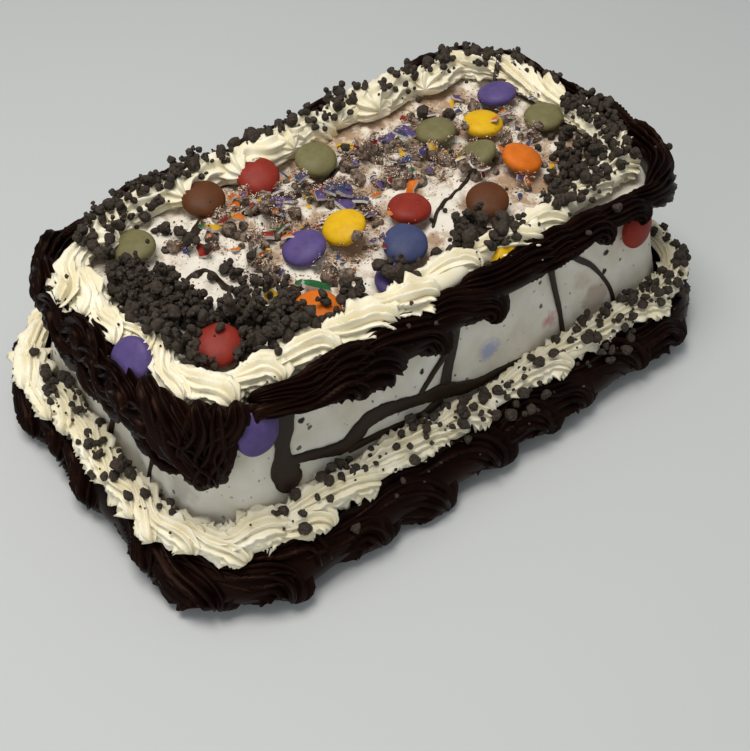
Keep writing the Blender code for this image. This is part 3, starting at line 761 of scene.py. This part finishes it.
LATITUDES = 33
LONGITUDES = 72
latitude = np.linspace(math.pi / 2, -math.pi / 2, LATITUDES)[1:-1]
longitude = np.linspace(0, math.tau, LONGITUDES, endpoint=False)
bulge = np.sign(np.sin(latitude)) * np.abs(np.sin(latitude)) ** 0.85
girth = np.cos(latitude) ** 0.92
shell = np.stack(
    [
        np.outer(girth, np.cos(longitude)).ravel() * BUTTON_RADIUS,
        np.outer(girth, np.sin(longitude)).ravel() * BUTTON_RADIUS,
        np.repeat(bulge, LONGITUDES) * BUTTON_HALF_THICKNESS,
    ],
    1,
)
poles = np.array([[0, 0, BUTTON_HALF_THICKNESS], [0, 0, -BUTTON_HALF_THICKNESS]])
faces = ring_faces(len(latitude), LONGITUDES)[:, ::-1].tolist()
top, bottom = len(shell), len(shell) + 1
last = (len(latitude) - 1) * LONGITUDES
for step in range(LONGITUDES):
    after = (step + 1) % LONGITUDES
    faces.append([top, step, after])
    faces.append([bottom, last + after, last + step])

buttons = []
for name in sorted(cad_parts):
    if not name.startswith("button_"):
        continue
    corners = np.array([vert.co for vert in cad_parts[name].data.vertices])
    middle = (corners.min(0) + corners.max(0)) / 2
    thin = np.linalg.svd(corners - corners.mean(0), full_matrices=False)[2][2]
    turned = np.array(Vector(thin * np.sign(thin[2] + 1e-6)).to_track_quat("Z", "Y").to_matrix())
    lens = np.concatenate([shell, poles])
    lens *= 1 + 0.012 * ripples(lens, 6 * MM, len(name) + ord(name[-1]))[:, None]
    lens = lens @ turned.T + middle
    colour = name.split("_")[1]
    made = piece(name + "_shell", lens, faces, shell_finishes[colour], stands_for=name)
    buttons.append(made)

# ---------------------------------------------------------------- chocolate sauce
# Warm sauce poured over the top, which ran down the sides and set in flat bands with rounded edges.
# A route is in mm: place along the side, height and half width. The place is x, or y at the left end.

SIDE_SAUCE = [
    [(-78, 70, 5.5), (-75, 62, 4.6), (-75, 54, 3.8), (-76.5, 47, 3.0), (-77.5, 39, 4.4), (-76, 33.5, 5.4),
     (-72, 31, 4.8)],
    [(-78, 41, 2.0), (-70, 38.5, 1.9), (-62, 35.5, 2.1), (-55, 33.5, 3.0), (-50, 35, 3.6), (-45, 38, 3.7),
     (-38, 38, 3.1), (-31, 36.3, 2.5), (-22, 34, 2.3), (-12, 31.5, 2.9), (-5, 28.6, 2.4), (3, 26.6, 1.8),
     (13, 26, 1.5), (26, 24.5, 1.4), (39, 21, 1.1)],
    [(-54, 31, 1.3), (-43, 30, 1.3), (-32, 28.6, 1.3), (-21, 27.6, 1.5), (-13, 29, 1.6)],
    [(-3, 62, 3.6), (-6, 54, 2.5), (-8, 46, 1.9), (-10.5, 39, 2.2), (-12, 33, 2.6)],
    [(-23, 36, 0.9), (-16, 42, 1.0), (-11, 46, 1.2), (-6, 52, 1.5)],
    [(-78, 66, 2.4), (-68.5, 61.6, 1.5), (-61, 60.4, 1.2), (-53.5, 59.4, 1.2), (-47, 59.5, 1.6)],
    [(36.5, 64, 1.6), (39.3, 49.4, 1.1), (42.5, 35.7, 0.9), (44.7, 22, 1.1)],
    [(46, 60, 1.7), (51, 54, 1.3), (59, 47, 1.0), (68, 34, 0.8), (72, 22, 0.8)],
]
END_SAUCE = [
    [(1, 66, 1.4), (-3, 55, 1.2), (-3.2, 39, 1.0), (2, 15, 1.2)],
    [(-31, 60, 1.2), (-29, 46, 0.9), (-26, 33, 0.9), (-23.5, 17, 1.0)],
    [(22, 56, 1.3), (26.4, 45, 1.1), (29, 34, 0.8)],
    [(9, 58, 1.3), (8, 48, 1.1), (9, 39, 0.9)],
]
BACK_SAUCE = [
    [(-60, 62, 1.6), (-58, 50, 1.2), (-61, 38, 1.0), (-59, 26, 1.1)],
    [(-20, 62, 3.0), (-18, 52, 2.2), (-12, 42, 2.2), (-2, 36, 2.6), (12, 33, 2.2), (26, 27, 1.6)],
    [(50, 62, 1.4), (52, 48, 1.0), (49, 34, 0.9), (50, 24, 1.0)],
]


ROUTE_STEP = 0.7


def smooth_route(route, step):
    """Points a step apart along a smooth curve through a route."""
    route = np.array(route, float)
    ends = np.concatenate([[2 * route[0] - route[1]], route, [2 * route[-1] - route[-2]]])
    curve = []
    for number in range(1, len(ends) - 2):
        before, here, there, after = ends[number - 1 : number + 3]
        for t in np.linspace(0, 1, 24, endpoint=False):
            bend = (2 * before - 5 * here + 4 * there - after) * t**2
            twist = (3 * here - before - 3 * there + after) * t**3
            curve.append(0.5 * (2 * here + (there - before) * t + bend + twist))
    curve = np.array(curve + [route[-1]])
    length = np.concatenate([[0], np.cumsum(np.linalg.norm(np.diff(curve, axis=0), axis=1))])
    wanted = np.linspace(0, length[-1], max(int(length[-1] / step), 4))
    return np.stack([np.interp(wanted, length, curve[:, axis]) for axis in range(curve.shape[1])], 1)


def band(route, surface, proud, seed):
    """A flat band with round edges along a route on a surface, and how far it stands proud, in mm."""
    curve = smooth_route(route, ROUTE_STEP)
    path, half_width = curve[:, :2], curve[:, 2]
    count = len(path)
    heading = np.gradient(path, axis=0)
    heading /= np.linalg.norm(heading, axis=1)[:, None]
    beside = np.stack([-heading[:, 1], heading[:, 0]], 1)
    coarse = 0.1 * ripples(np.c_[path, np.zeros(count)], 10, seed)
    uneven = 1 + coarse + 0.04 * ripples(np.c_[path, path[:, :1]], 3, seed)
    ends = np.minimum(np.arange(count), np.arange(count)[::-1]) * ROUTE_STEP / half_width
    taper = np.sqrt(np.clip(1 - (1 - np.clip(ends, 0, 1)) ** 2, 0.03, 1))
    turn = np.linspace(0, math.tau, 18, endpoint=False)
    wide = np.sign(np.cos(turn)) * np.abs(np.cos(turn)) ** 0.7
    flat = path[:, None, :] + beside[:, None, :] * ((half_width * uneven * taper)[:, None] * wide)[..., None]
    lift = proud * taper[:, None] * np.sign(np.sin(turn)) * np.abs(np.sin(turn)) ** 0.7
    points = surface(flat.reshape(-1, 2) * MM, lift.ravel() * MM)
    faces = ring_faces(count, len(turn)).tolist()
    faces.append(list(range(len(turn)))[::-1])
    faces.append([(count - 1) * len(turn) + step for step in range(len(turn))])
    return points, faces


# A surface takes places on it, and how far points stand proud there, to points of the cake.
def on_side(flat, lift):
    rim_y = loaf_half(flat[:, 1])[1]
    return np.stack([flat[:, 0], -rim_y - lift, flat[:, 1]], 1)


def on_back(flat, lift):
    rim_y = loaf_half(flat[:, 1])[1]
    return np.stack([flat[:, 0], rim_y + lift, flat[:, 1]], 1)


def on_left(flat, lift):
    rim_x = loaf_half(flat[:, 1])[0]
    return np.stack([-rim_x - lift, flat[:, 0], flat[:, 1]], 1)


def pour(name, runs):
    """Joins bands of sauce into one piece. A run is its route, surface, height in mm and seed."""
    points, faces, offset = [], [], 0
    for run in runs:
        made, joined = band(*run)
        points.append(made)
        faces += [[corner + offset for corner in face] for face in joined]
        offset += len(made)
    return piece(name, np.concatenate(points), faces, sauce)


# Cold sauce has set to a smooth dark skin, with a dull gloss where the light slides over it
sauce, tree, shader = finish("set_chocolate_sauce", Roughness=0.45, IOR=1.45, Specular_IOR_Level=0.3)
mottle(tree, shader, 6 * MM, "#20140c", "#332317", Detail=3)
SIDE_SAUCE_HEIGHT = 0.75
sides = ((SIDE_SAUCE, on_side), (END_SAUCE, on_left), (BACK_SAUCE, on_back))
pour("sauce_on_sides", [
    (route, surface, SIDE_SAUCE_HEIGHT, 10 * number + len(routes))
    for routes, surface in sides for number, route in enumerate(routes)
])

# ---------------------------------------------------------------- chocolate sauce on the top
# The same sauce, drizzled to and fro over the ice cream before the broken sweets were thrown on.
# It follows the lumps that it was poured over.

# A grid of square cells over the cake: their size, its half length and half width, and a height above it all
CELL = 0.6 * MM
FIELD = (cad_high[0] + 2 * MM, cad_high[1] + 2 * MM)
OVERHEAD = 120 * MM


def highest(solids):
    """The height of what lies uppermost in each cell of a grid over the cake: -1 where there is nothing."""
    columns, rows = int(2 * FIELD[0] / CELL), int(2 * FIELD[1] / CELL)
    field = np.full((columns, rows), -1.0)
    for solid in solids:
        mesh = solid.data
        corners = np.array([vert.co for vert in mesh.vertices])
        tree = BVHTree.FromPolygons(corners.tolist(), [face.vertices for face in mesh.polygons])
        low = np.maximum(((corners.min(0)[:2] + FIELD) / CELL).astype(int), 0)
        high = np.minimum(((corners.max(0)[:2] + FIELD) / CELL).astype(int) + 1, (columns, rows))
        for column in range(low[0], high[0]):
            for row in range(low[1], high[1]):
                spot = Vector(((column + 0.5) * CELL - FIELD[0], (row + 0.5) * CELL - FIELD[1], OVERHEAD))
                hit = tree.ray_cast(spot, Vector((0, 0, -1)))[0]
                if hit is not None and hit.z > field[column, row]:
                    field[column, row] = hit.z
    return field


bare_top = highest([loaf, bed, piped["upper_cream_border"]])
TOP_SAUCE = [
    [(-42, 33, 1.4), (-46, 30, 1.7), (-56, 22, 1.5), (-61, 21, 1.2), (-68, 24, 0.9)],
    [(-36, 24, 1.0), (-32, 19, 1.2), (-25, 20, 1.5), (-15, 19, 1.7), (1, 22, 1.3), (11, 24, 1.0),
     (20, 27, 0.8)],
    [(-74, 0, 0.8), (-71, 5, 1.1), (-66, 6, 1.3), (-62, 3, 1.1), (-61, -3, 1.3), (-61, -10, 1.4),
     (-63, -18, 0.9)],
    [(10, -23, 0.6), (18, -17, 0.7), (26, -14, 0.6), (35, -11, 0.7), (43, -8, 0.8)],
    [(99, 39, 1.4), (93, 34, 1.2), (85, 27, 1.0)],
    [(-52, -4, 0.7), (-46, -14, 1.0), (-42, -22, 0.8)],
]


def on_top(flat, lift):
    column = np.clip(((flat[:, 0] + FIELD[0]) / CELL).astype(int), 0, bare_top.shape[0] - 1)
    row = np.clip(((flat[:, 1] + FIELD[1]) / CELL).astype(int), 0, bare_top.shape[1] - 1)
    return np.stack([flat[:, 0], flat[:, 1], np.maximum(bare_top[column, row], 66 * MM) + lift], 1)


TOP_SAUCE_HEIGHT = 0.6
runs = [(route, on_top, TOP_SAUCE_HEIGHT, 70 + number) for number, route in enumerate(TOP_SAUCE)]
top_sauce = pour("sauce_on_top", runs)

# ---------------------------------------------------------------- broken sweets and grated chocolate
# Buttons crushed in a bag: bits of bright shell with a white edge, chocolate chunks, and fine shavings.
# Every bit falls on what lies highest under it, so that heaps grow where most was thrown.


def cell(x, y):
    """The grid's column and row at a place."""
    return int((x + FIELD[0]) / CELL), int((y + FIELD[1]) / CELL)


def fall(field, x, y, radius, sink):
    """The height at which a bit comes to rest, and the heap grows by it. None where nothing lies under it."""
    column, row = cell(x, y)
    span = max(int(radius / CELL), 1)
    if not (span <= column < field.shape[0] - span and span <= row < field.shape[1] - span):
        return None
    window = field[column - span : column + span + 1, row - span : row + span + 1]
    base = np.percentile(window, 70)
    if base < 1 * MM:
        return None
    centre = base + radius * sink
    steps = (np.arange(-span, span + 1) * CELL) ** 2
    away = steps[:, None] + steps[None, :]
    dome = centre + np.sqrt(np.clip(radius**2 - away, 0, None)) * 0.8
    inside = away < radius**2
    window[inside] = np.maximum(window, dome)[inside]
    return centre


def within(x, y, corners):
    """Whether a point lies in a polygon, all in mm."""
    hit = False
    for (x0, y0), (x1, y1) in zip(corners, corners[1:] + corners[:1]):
        if (y0 > y) != (y1 > y) and x < (x1 - x0) * (y - y0) / (y1 - y0) + x0:
            hit = not hit
    return hit


def scattered(areas, rng):
    """A place in mm, drawn from areas that each hold a share of all places."""
    draw = rng.random() * sum(share for _, share in areas)
    for corners, share in areas:
        if draw < share:
            while True:
                x, y = rng.uniform(np.min(corners, axis=0), np.max(corners, axis=0))
                if within(x, y, corners):
                    return x, y
        draw -= share
    return scattered(areas, rng)


def any_turn(rng, most=math.pi):
    """A random rotation matrix that tips a flat thing by no more than an angle."""
    spin = Matrix.Rotation(rng.uniform(0, math.tau), 3, "Z")
    tip = Matrix.Rotation(rng.uniform(-most, most), 3, "X")
    return np.array(Matrix.Rotation(rng.uniform(0, math.tau), 3, "Z") @ tip @ spin)


def unit_sphere(level):
    """Points and triangles of a round ball, as arrays."""
    bpy.ops.mesh.primitive_ico_sphere_add(subdivisions=level, radius=1)
    ball = bpy.context.object
    points = np.array([v.co for v in ball.data.vertices])
    faces = np.array([p.vertices for p in ball.data.polygons])
    bpy.data.objects.remove(ball)
    return points, faces


def strew(shapes, spots, rng):
    """Copies of shapes joined into one mesh: every spot is (place, size, turn)."""
    points, faces, offset = [], [], 0
    for place, size, turn in spots:
        shape, joined = shapes[rng.integers(len(shapes))]
        points.append((shape * size) @ turn.T + place)
        faces.append(joined + offset)
        offset += len(shape)
    return np.concatenate(points), np.concatenate(faces)


def nuggets(level, kinds, seed, rough=0.1):
    """Lumpy crumb shapes of about unit radius."""
    ball, faces = unit_sphere(level)
    shapes = []
    for kind in range(kinds):
        rng = np.random.default_rng(seed + kind)
        lumps = 1 + rough * ripples(ball, 1.3, seed + kind)
        lumps += rough * 0.4 * ripples(ball, 0.45, seed + 50 + kind)
        lumps += rough * 0.3 * rng.normal(size=len(ball))
        bit = ball * lumps[:, None]
        for _ in range(7):
            chip = rng.normal(size=3)
            chip /= np.linalg.norm(chip)
            over = np.clip(bit @ chip - rng.uniform(0.62, 0.92), 0, None)
            bit = bit - 0.85 * over[:, None] * chip
        shapes.append((bit * rng.uniform(0.85, 1.25, 3), faces))
    return shapes


tops = highest([loaf, bed, top_sauce, *piped.values()])
# Bits slide off every button but one, which the toppings half bury
HALF_BURIED = ("button_purple_tucked_shell",)
button_tops = highest(buttons)
covered = highest([button for button in buttons if button.name not in HALF_BURIED]) > tops
tops = np.maximum(tops, button_tops)

# Where crushed sweets were thrown: corners of areas in mm, and each area's share
CRUSHED = [
    (-54, 25), (-38, 30), (-23, 26), (-6, 22), (8, 6), (16, -16), (-2, -25), (-24, -27), (-46, -24),
    (-58, -2),
]
CRUSHED_RIGHT = [
    (4, 27), (24, 26), (42, 10), (60, 24), (78, 8), (78, -8), (70, -24), (46, -28), (28, -6), (8, 6),
]
CRUSHED_LEFT = [(-66, 26), (-44, 30), (-42, -10), (-54, -14), (-63, 2)]
CRUSHED_BACK = [(-20, 26), (0, 34), (30, 32), (60, 32), (84, 30), (92, 8), (70, 20), (40, 20), (10, 22)]
AREAS = [(CRUSHED, 0.48), (CRUSHED_LEFT, 0.08), (CRUSHED_RIGHT, 0.33), (CRUSHED_BACK, 0.11)]


def bed_height(x, y):
    """The height of the bare layer on top at a place in mm, or at the layer's nearest edge."""
    column, row = [
        min(max(int(round((place * MM + half) / (2 * half) * (steps - 1))), 0), steps - 1)
        for place, half, steps in zip((x, y), TOP_HALF, (columns, rows))
    ]
    return bed_points[column * rows + row, 2]


# Crushed sweets lie in patches: how likely a bit is to stay in each cell
spots = np.indices(tops.shape).reshape(2, -1).T * CELL
thrown = 0.55 + 0.6 * ripples(np.c_[spots, spots[:, 0]], 17 * MM, 8).reshape(tops.shape)


# Lumps higher than this above the bed shed nearly all that falls on them: in mm, and the share that stays.
# Flat crushed bits slide off lower lumps than crumbs do.
LUMP_SHEDS_CRUSHED = (1.9, 0.12)
LUMP_SHEDS_CRUMBS = (2.6, 0.03)
HEAP_LIMIT = cad_high[2] + 2 * MM  # nothing is heaped higher


def drop(areas, count, smallest, largest, steepness, tip, sink, rng, on_sweets=0.02, in_patches=True):
    """
    Drops bits on the top: their places, radii and turns. Radii are drawn between two in mm, and the steeper,
    the more small ones. A bit tips by some angle at most, and its middle rests at sink radii above what it
    fell on. Few stay on sweets.
    """
    lump, staying = LUMP_SHEDS_CRUSHED if in_patches else LUMP_SHEDS_CRUMBS
    spots = []
    while len(spots) < count:
        x, y = scattered(areas, rng)
        here = cell(x * MM, y * MM)
        radius = (smallest + (largest - smallest) * rng.random() ** steepness) * MM
        if covered[here] and rng.random() > on_sweets:
            continue
        if bed_height(x, y) > BED_HEIGHT + lump * MM and rng.random() > staying:
            continue
        if in_patches and thrown[here] < rng.random():
            continue
        height = fall(tops, x * MM, y * MM, radius, sink)
        if height is not None and height + radius * 1.2 < HEAP_LIMIT:
            spots.append((np.array([x * MM, y * MM, height]), radius, any_turn(rng, tip)))
    return spots


# Broken chocolate: dark brown breaks, greyed by sugar and chocolate dust
chunk, tree, shader = finish("dusty_broken_chocolate", Roughness=0.8, IOR=1.45, Specular_IOR_Level=0.3)
mottle(tree, shader, 2.2 * MM, "#3a2a21", "#9f8c7b", 0.38, 0.68, Detail=5, Roughness=0.7)
rng = np.random.default_rng(31)
spots = drop(AREAS, 170, 1.0, 3.1, 1.5, math.pi, 0.3, rng)
points, faces = strew(nuggets(2, 12, 140, 0.17), spots, rng)
piece("broken_chocolate_chunks", points, faces, chunk, smooth=False)

# A broken edge of sugar shell: chalky white and quite matt
sugar_edge, tree, shader = finish("white_sugar_edge", Base_Color=paint("#d9d2c8"), Roughness=0.7, IOR=1.5)
roughen(tree, shader, 0.6 * MM, 0.3, 0.2 * MM, Detail=4)
SHELL_THICKNESS = 0.26  # as a share of a flake's radius


def flake(rng):
    """A bit of sugar shell: a bent, many-sided flake of about unit radius with a bright outer face."""
    sides = rng.integers(5, 9)
    turn = np.sort(rng.uniform(0, math.tau, sides) * 0.35 + np.linspace(0, math.tau, sides, endpoint=False))
    reach = rng.uniform(0.55, 1.15, sides)
    stretch = rng.uniform(0.55, 1.0)
    rim = np.stack([reach * np.cos(turn), stretch * reach * np.sin(turn)], 1)
    flat = np.concatenate([[[0, 0]], rim * 0.55, rim])
    arch = -0.3 * np.sum(flat**2, axis=1)
    outer = np.c_[flat, arch + SHELL_THICKNESS / 2]
    inner = np.c_[flat * 0.97, arch - SHELL_THICKNESS / 2]
    points = np.concatenate([outer, inner])
    faces, index = [], []
    below = len(flat)
    for step in range(sides):
        after = (step + 1) % sides
        a, b, c, d = 1 + step, 1 + after, 1 + sides + step, 1 + sides + after
        faces += [[0, a, b], [a, c, d], [a, d, b]]
        index += [1, 1, 1]
        faces += [[below, below + b, below + a], [below + a, below + d, below + c]]
        faces += [[below + a, below + b, below + d]]
        index += [2, 2, 2]
        faces += [[c, below + c, below + d], [c, below + d, d]]
        index += [0, 0]
    return points, np.array(faces), np.array(index)


# Bits of each colour, and large ones at known places: colour, count and (x, y, size in mm)
BROKEN = [
    ("red", 34, [
        (-39.4, 7.5, 5.0), (-59, 12.8, 4.4), (-47, 17, 2.5), (76, 9, 4.4), (-20, 2, 2.4), (-32, 0, 2.6),
    ]),
    ("yellow", 40, [
        (-52.5, -16.7, 5.4), (-51.7, 16.9, 4.8), (14.8, 31, 5.0), (26.3, 14, 3.4), (67, -23, 3.6),
        (-44, 14, 3.0), (-41, 2, 2.4),
    ]),
    ("orange", 38, [
        (-59.2, -19.2, 3.6), (-44, -2, 3.0), (18.4, -1.6, 3.4), (-36, -3, 2.6), (63, 4, 2.6), (-50, 6, 2.2),
    ]),
    ("purple", 60, [
        (-6.5, 3.9, 5.4), (-3, 6, 4.6), (-12, 10, 4.2), (29, 25, 6.2), (34, 20, 4.2), (-28, 13, 3.6),
        (-21, 17, 3.2),
    ]),
    ("blue", 46, [(-7.6, 8.2, 4.6), (23.3, 6.4, 3.6), (-2, 1, 3.8), (30, 20, 3.8)]),
    ("leaf", 12, [(-39.4, -24.4, 5.6), (-42, -19, 2.4), (14, 24, 2.0)]),
]
for number, (colour, count, known) in enumerate(BROKEN):
    rng = np.random.default_rng(50 + number)
    spots = []
    for x, y, size in known:
        height = fall(tops, x * MM, y * MM, size * MM * 0.7, 0.5)
        spots.append((np.array([x * MM, y * MM, height + 0.4 * MM]), size * MM, any_turn(rng, 0.55)))
    spots += drop(AREAS, count, 0.8, 2.9, 1.8, 0.9, 0.35, rng)
    points, faces, index, offset = [], [], [], 0
    for place, size, turn in spots:
        shape, joined, kind = flake(rng)
        over = -1 if rng.random() < 0.3 and size < 3.2 * MM else 1
        points.append((shape * size * [1, over, over]) @ turn.T + place)
        faces.append(joined + offset)
        index.append(kind)
        offset += len(shape)
    made = [sugar_edge, shell_finishes[colour], chunk]
    points, faces, index = np.concatenate(points), np.concatenate(faces), np.concatenate(index)
    slot = "green_shell" if colour == "leaf" else colour + "_shell"
    piece(f"broken_{colour}_shells", points, faces, made, smooth=False, index=index)

# A sliver is a small wedge, thinner at two of its corners
sliver_points = np.array([[x, y, z] for x in (-1, 1) for y in (-0.34, 0.34) for z in (-0.22, 0.22)], float)
sliver_points *= 1 - 0.45 * (np.abs(sliver_points[:, :1]) > 0.9) * (sliver_points[:, 1:2] > 0)
sliver_faces = np.array([[0, 1, 3, 2], [4, 6, 7, 5], [0, 4, 5, 1], [2, 3, 7, 6], [0, 2, 6, 4], [1, 5, 7, 3]])
# What was grated or ground fine: matt, each in its own tint
SHAVINGS = [
    ("grated_chocolate", "milk_chocolate_shavings", "#7d4d38", "#54342a", 6000, "brown_shell"),
    ("pale_grit", "crushed_sugar_and_milk_chocolate", "#cdb396", "#a08266", 3000, "brown_shell"),
    ("white_grit", "crushed_sugar", "#e6ddd0", "#d3c5b2", 2200, "whipped_cream"),
]
for number, (name, made_of, light, dark, count, slot) in enumerate(SHAVINGS):
    made, tree, shader = finish(made_of, Roughness=0.8, IOR=1.45, Specular_IOR_Level=0.2)
    mottle(tree, shader, 1.8 * MM, dark, light, 0.4, 0.6, Detail=2)
    rng = np.random.default_rng(70 + number)
    spots = drop(AREAS, count, 0.13, 0.5, 2.0, 0.7, 0.25, rng, 0.01)
    points, faces = strew([(sliver_points, sliver_faces)], spots, rng)
    piece(name, points, faces, made, smooth=False)

# ---------------------------------------------------------------- biscuit crumbs
# Dark chocolate biscuits broken small, thrown on by hand last of all.
# They lie thickest by the near left corner and along the crests, and some rest on the lower piping.

# Baked cocoa dough broken small: nearly black, matt and grainy
biscuit, tree, shader = finish("dark_biscuit_crumb", Roughness=0.85, IOR=1.4, Specular_IOR_Level=0.3)
mottle(tree, shader, 0.9 * MM, "#1f1914", "#51473d", 0.3, 0.75, Detail=5, Roughness=0.7)
roughen(tree, shader, 0.45 * MM, 0.6, 0.3 * MM, Detail=4, Roughness=0.7)

# Where crumbs were thrown: corners of areas in mm, and each area's share
HEAP = [
    (-88, 28), (-78, 34), (-68, 30), (-77, 16), (-76, 0), (-70, -12), (-62, -24), (-50, -30), (-44, -36),
    (-48, -41), (-70, -42), (-88, -34), (-95, -20), (-95, 2),
]
ROUND_LUMPS = [
    (-66, 30), (-50, 36), (-60, 28), (-58, -8), (-68, -8), (-62, -24), (-50, -28), (-44, -32), (-46, -24),
]
NEAR_DRIFT = [(-26, -31), (-16, -38), (-13, -43), (-24, -41)]
BLUE_SIDE = [(9, -32), (15, -28), (22, -33), (26, -42), (12, -42)]
NEAR_CREST = [(6, -42), (20, -36), (28, -40), (30, -50), (8, -51)]
ORANGE_SIDE = [(-58, -30), (-42, -31), (-32, -34), (-34, -42), (-52, -42), (-62, -38)]
RIGHT_DRIFT = [(82, -4), (103, 0), (101, -22), (94, -32), (70, -34), (50, -34), (62, -24), (76, -18)]
RIGHT_CREST = [(46, -37), (60, -34), (92, -28), (90, -44), (60, -48), (40, -46)]
FAR_LEFT_CREST = [
    (-88, 30), (-66, 36), (-44, 40), (-24, 41), (-16, 46), (-30, 52), (-56, 51), (-82, 46), (-94, 34),
]
FAR_CREST = [
    (-16, 42), (30, 40), (70, 38), (92, 30), (98, 8), (104, 8), (103, 36), (88, 50), (30, 53), (-16, 53),
]
EVERYWHERE = [(-108, -60), (108, -60), (108, 60), (-108, 60)]
CRUMB_AREAS = [
    (HEAP, 0.4), (ROUND_LUMPS, 0.04), (NEAR_DRIFT, 0.035), (BLUE_SIDE, 0.035), (NEAR_CREST, 0.06),
    (ORANGE_SIDE, 0.04), (RIGHT_DRIFT, 0.1), (RIGHT_CREST, 0.06), (FAR_LEFT_CREST, 0.1), (FAR_CREST, 0.07),
    (EVERYWHERE, 0.03),
]
rng = np.random.default_rng(21)
large = drop(CRUMB_AREAS, 360, 1.5, 2.5, 1.4, math.pi, 0.75, rng, 0.02, False)
middling = drop(CRUMB_AREAS, 620, 0.9, 1.6, 1.0, math.pi, 0.75, rng, 0.02, False)
small = drop(CRUMB_AREAS, 900, 0.3, 0.9, 1.2, math.pi, 0.5, rng, 0.02, False)

# On the lower piping: middle and spread in mm, and how many crumbs. They fall past the upper borders.
LEDGE_DRIFTS = [
    (-56, -62, 9, 4, 46), (-20, -66, 12, 4, 30), (8, -68, 16, 4, 44), (50, -68, 16, 4, 52),
    (84, -66, 14, 5, 90), (110, -50, 6, 10, 60), (-113, 22, 4, 10, 46), (-113, -10, 4, 14, 40),
    (-108, -42, 5, 9, 16), (-80, -68, 14, 4, 12), (118, 0, 4, 30, 60), (60, 70, 40, 4, 60),
    (-50, 70, 40, 4, 60), (20, -66, 70, 6, 40),
]
LEDGE_REACH = (124, 80)
LEDGE_LOWEST = 14 * MM
half_x, half_y = [half / MM + 1.5 for half in loaf_half(30 * MM)]
ledge = highest([piped["lower_cream_border"], piped["lower_chocolate_border"]])
for x_middle, y_middle, x_spread, y_spread, count in LEDGE_DRIFTS:
    for _ in range(count):
        x, y = rng.normal((x_middle, y_middle), (x_spread, y_spread))
        radius = (0.4 + 1.8 * rng.random() ** 1.8) * MM
        if (abs(x) < half_x and abs(y) < half_y) or abs(x) > LEDGE_REACH[0] or abs(y) > LEDGE_REACH[1]:
            continue
        height = fall(ledge, x * MM, y * MM, radius, 0.55)
        if height is not None and height > LEDGE_LOWEST:
            spot = (np.array([x * MM, y * MM, height]), radius, any_turn(rng))
            (large if radius > 1.5 * MM else middling if radius > 0.9 * MM else small).append(spot)

# Each size's crumbs, with how finely their shapes are cut, how many shapes there are and a seed
SIZES = [("large", large, 3, 14, 60), ("middling", middling, 2, 14, 100), ("small", small, 2, 10, 80)]
for size, spots, level, kinds, seed in SIZES:
    points, faces = strew(nuggets(level, kinds, seed), spots, rng)
    piece(f"{size}_biscuit_crumbs", points, faces, biscuit, smooth=False)
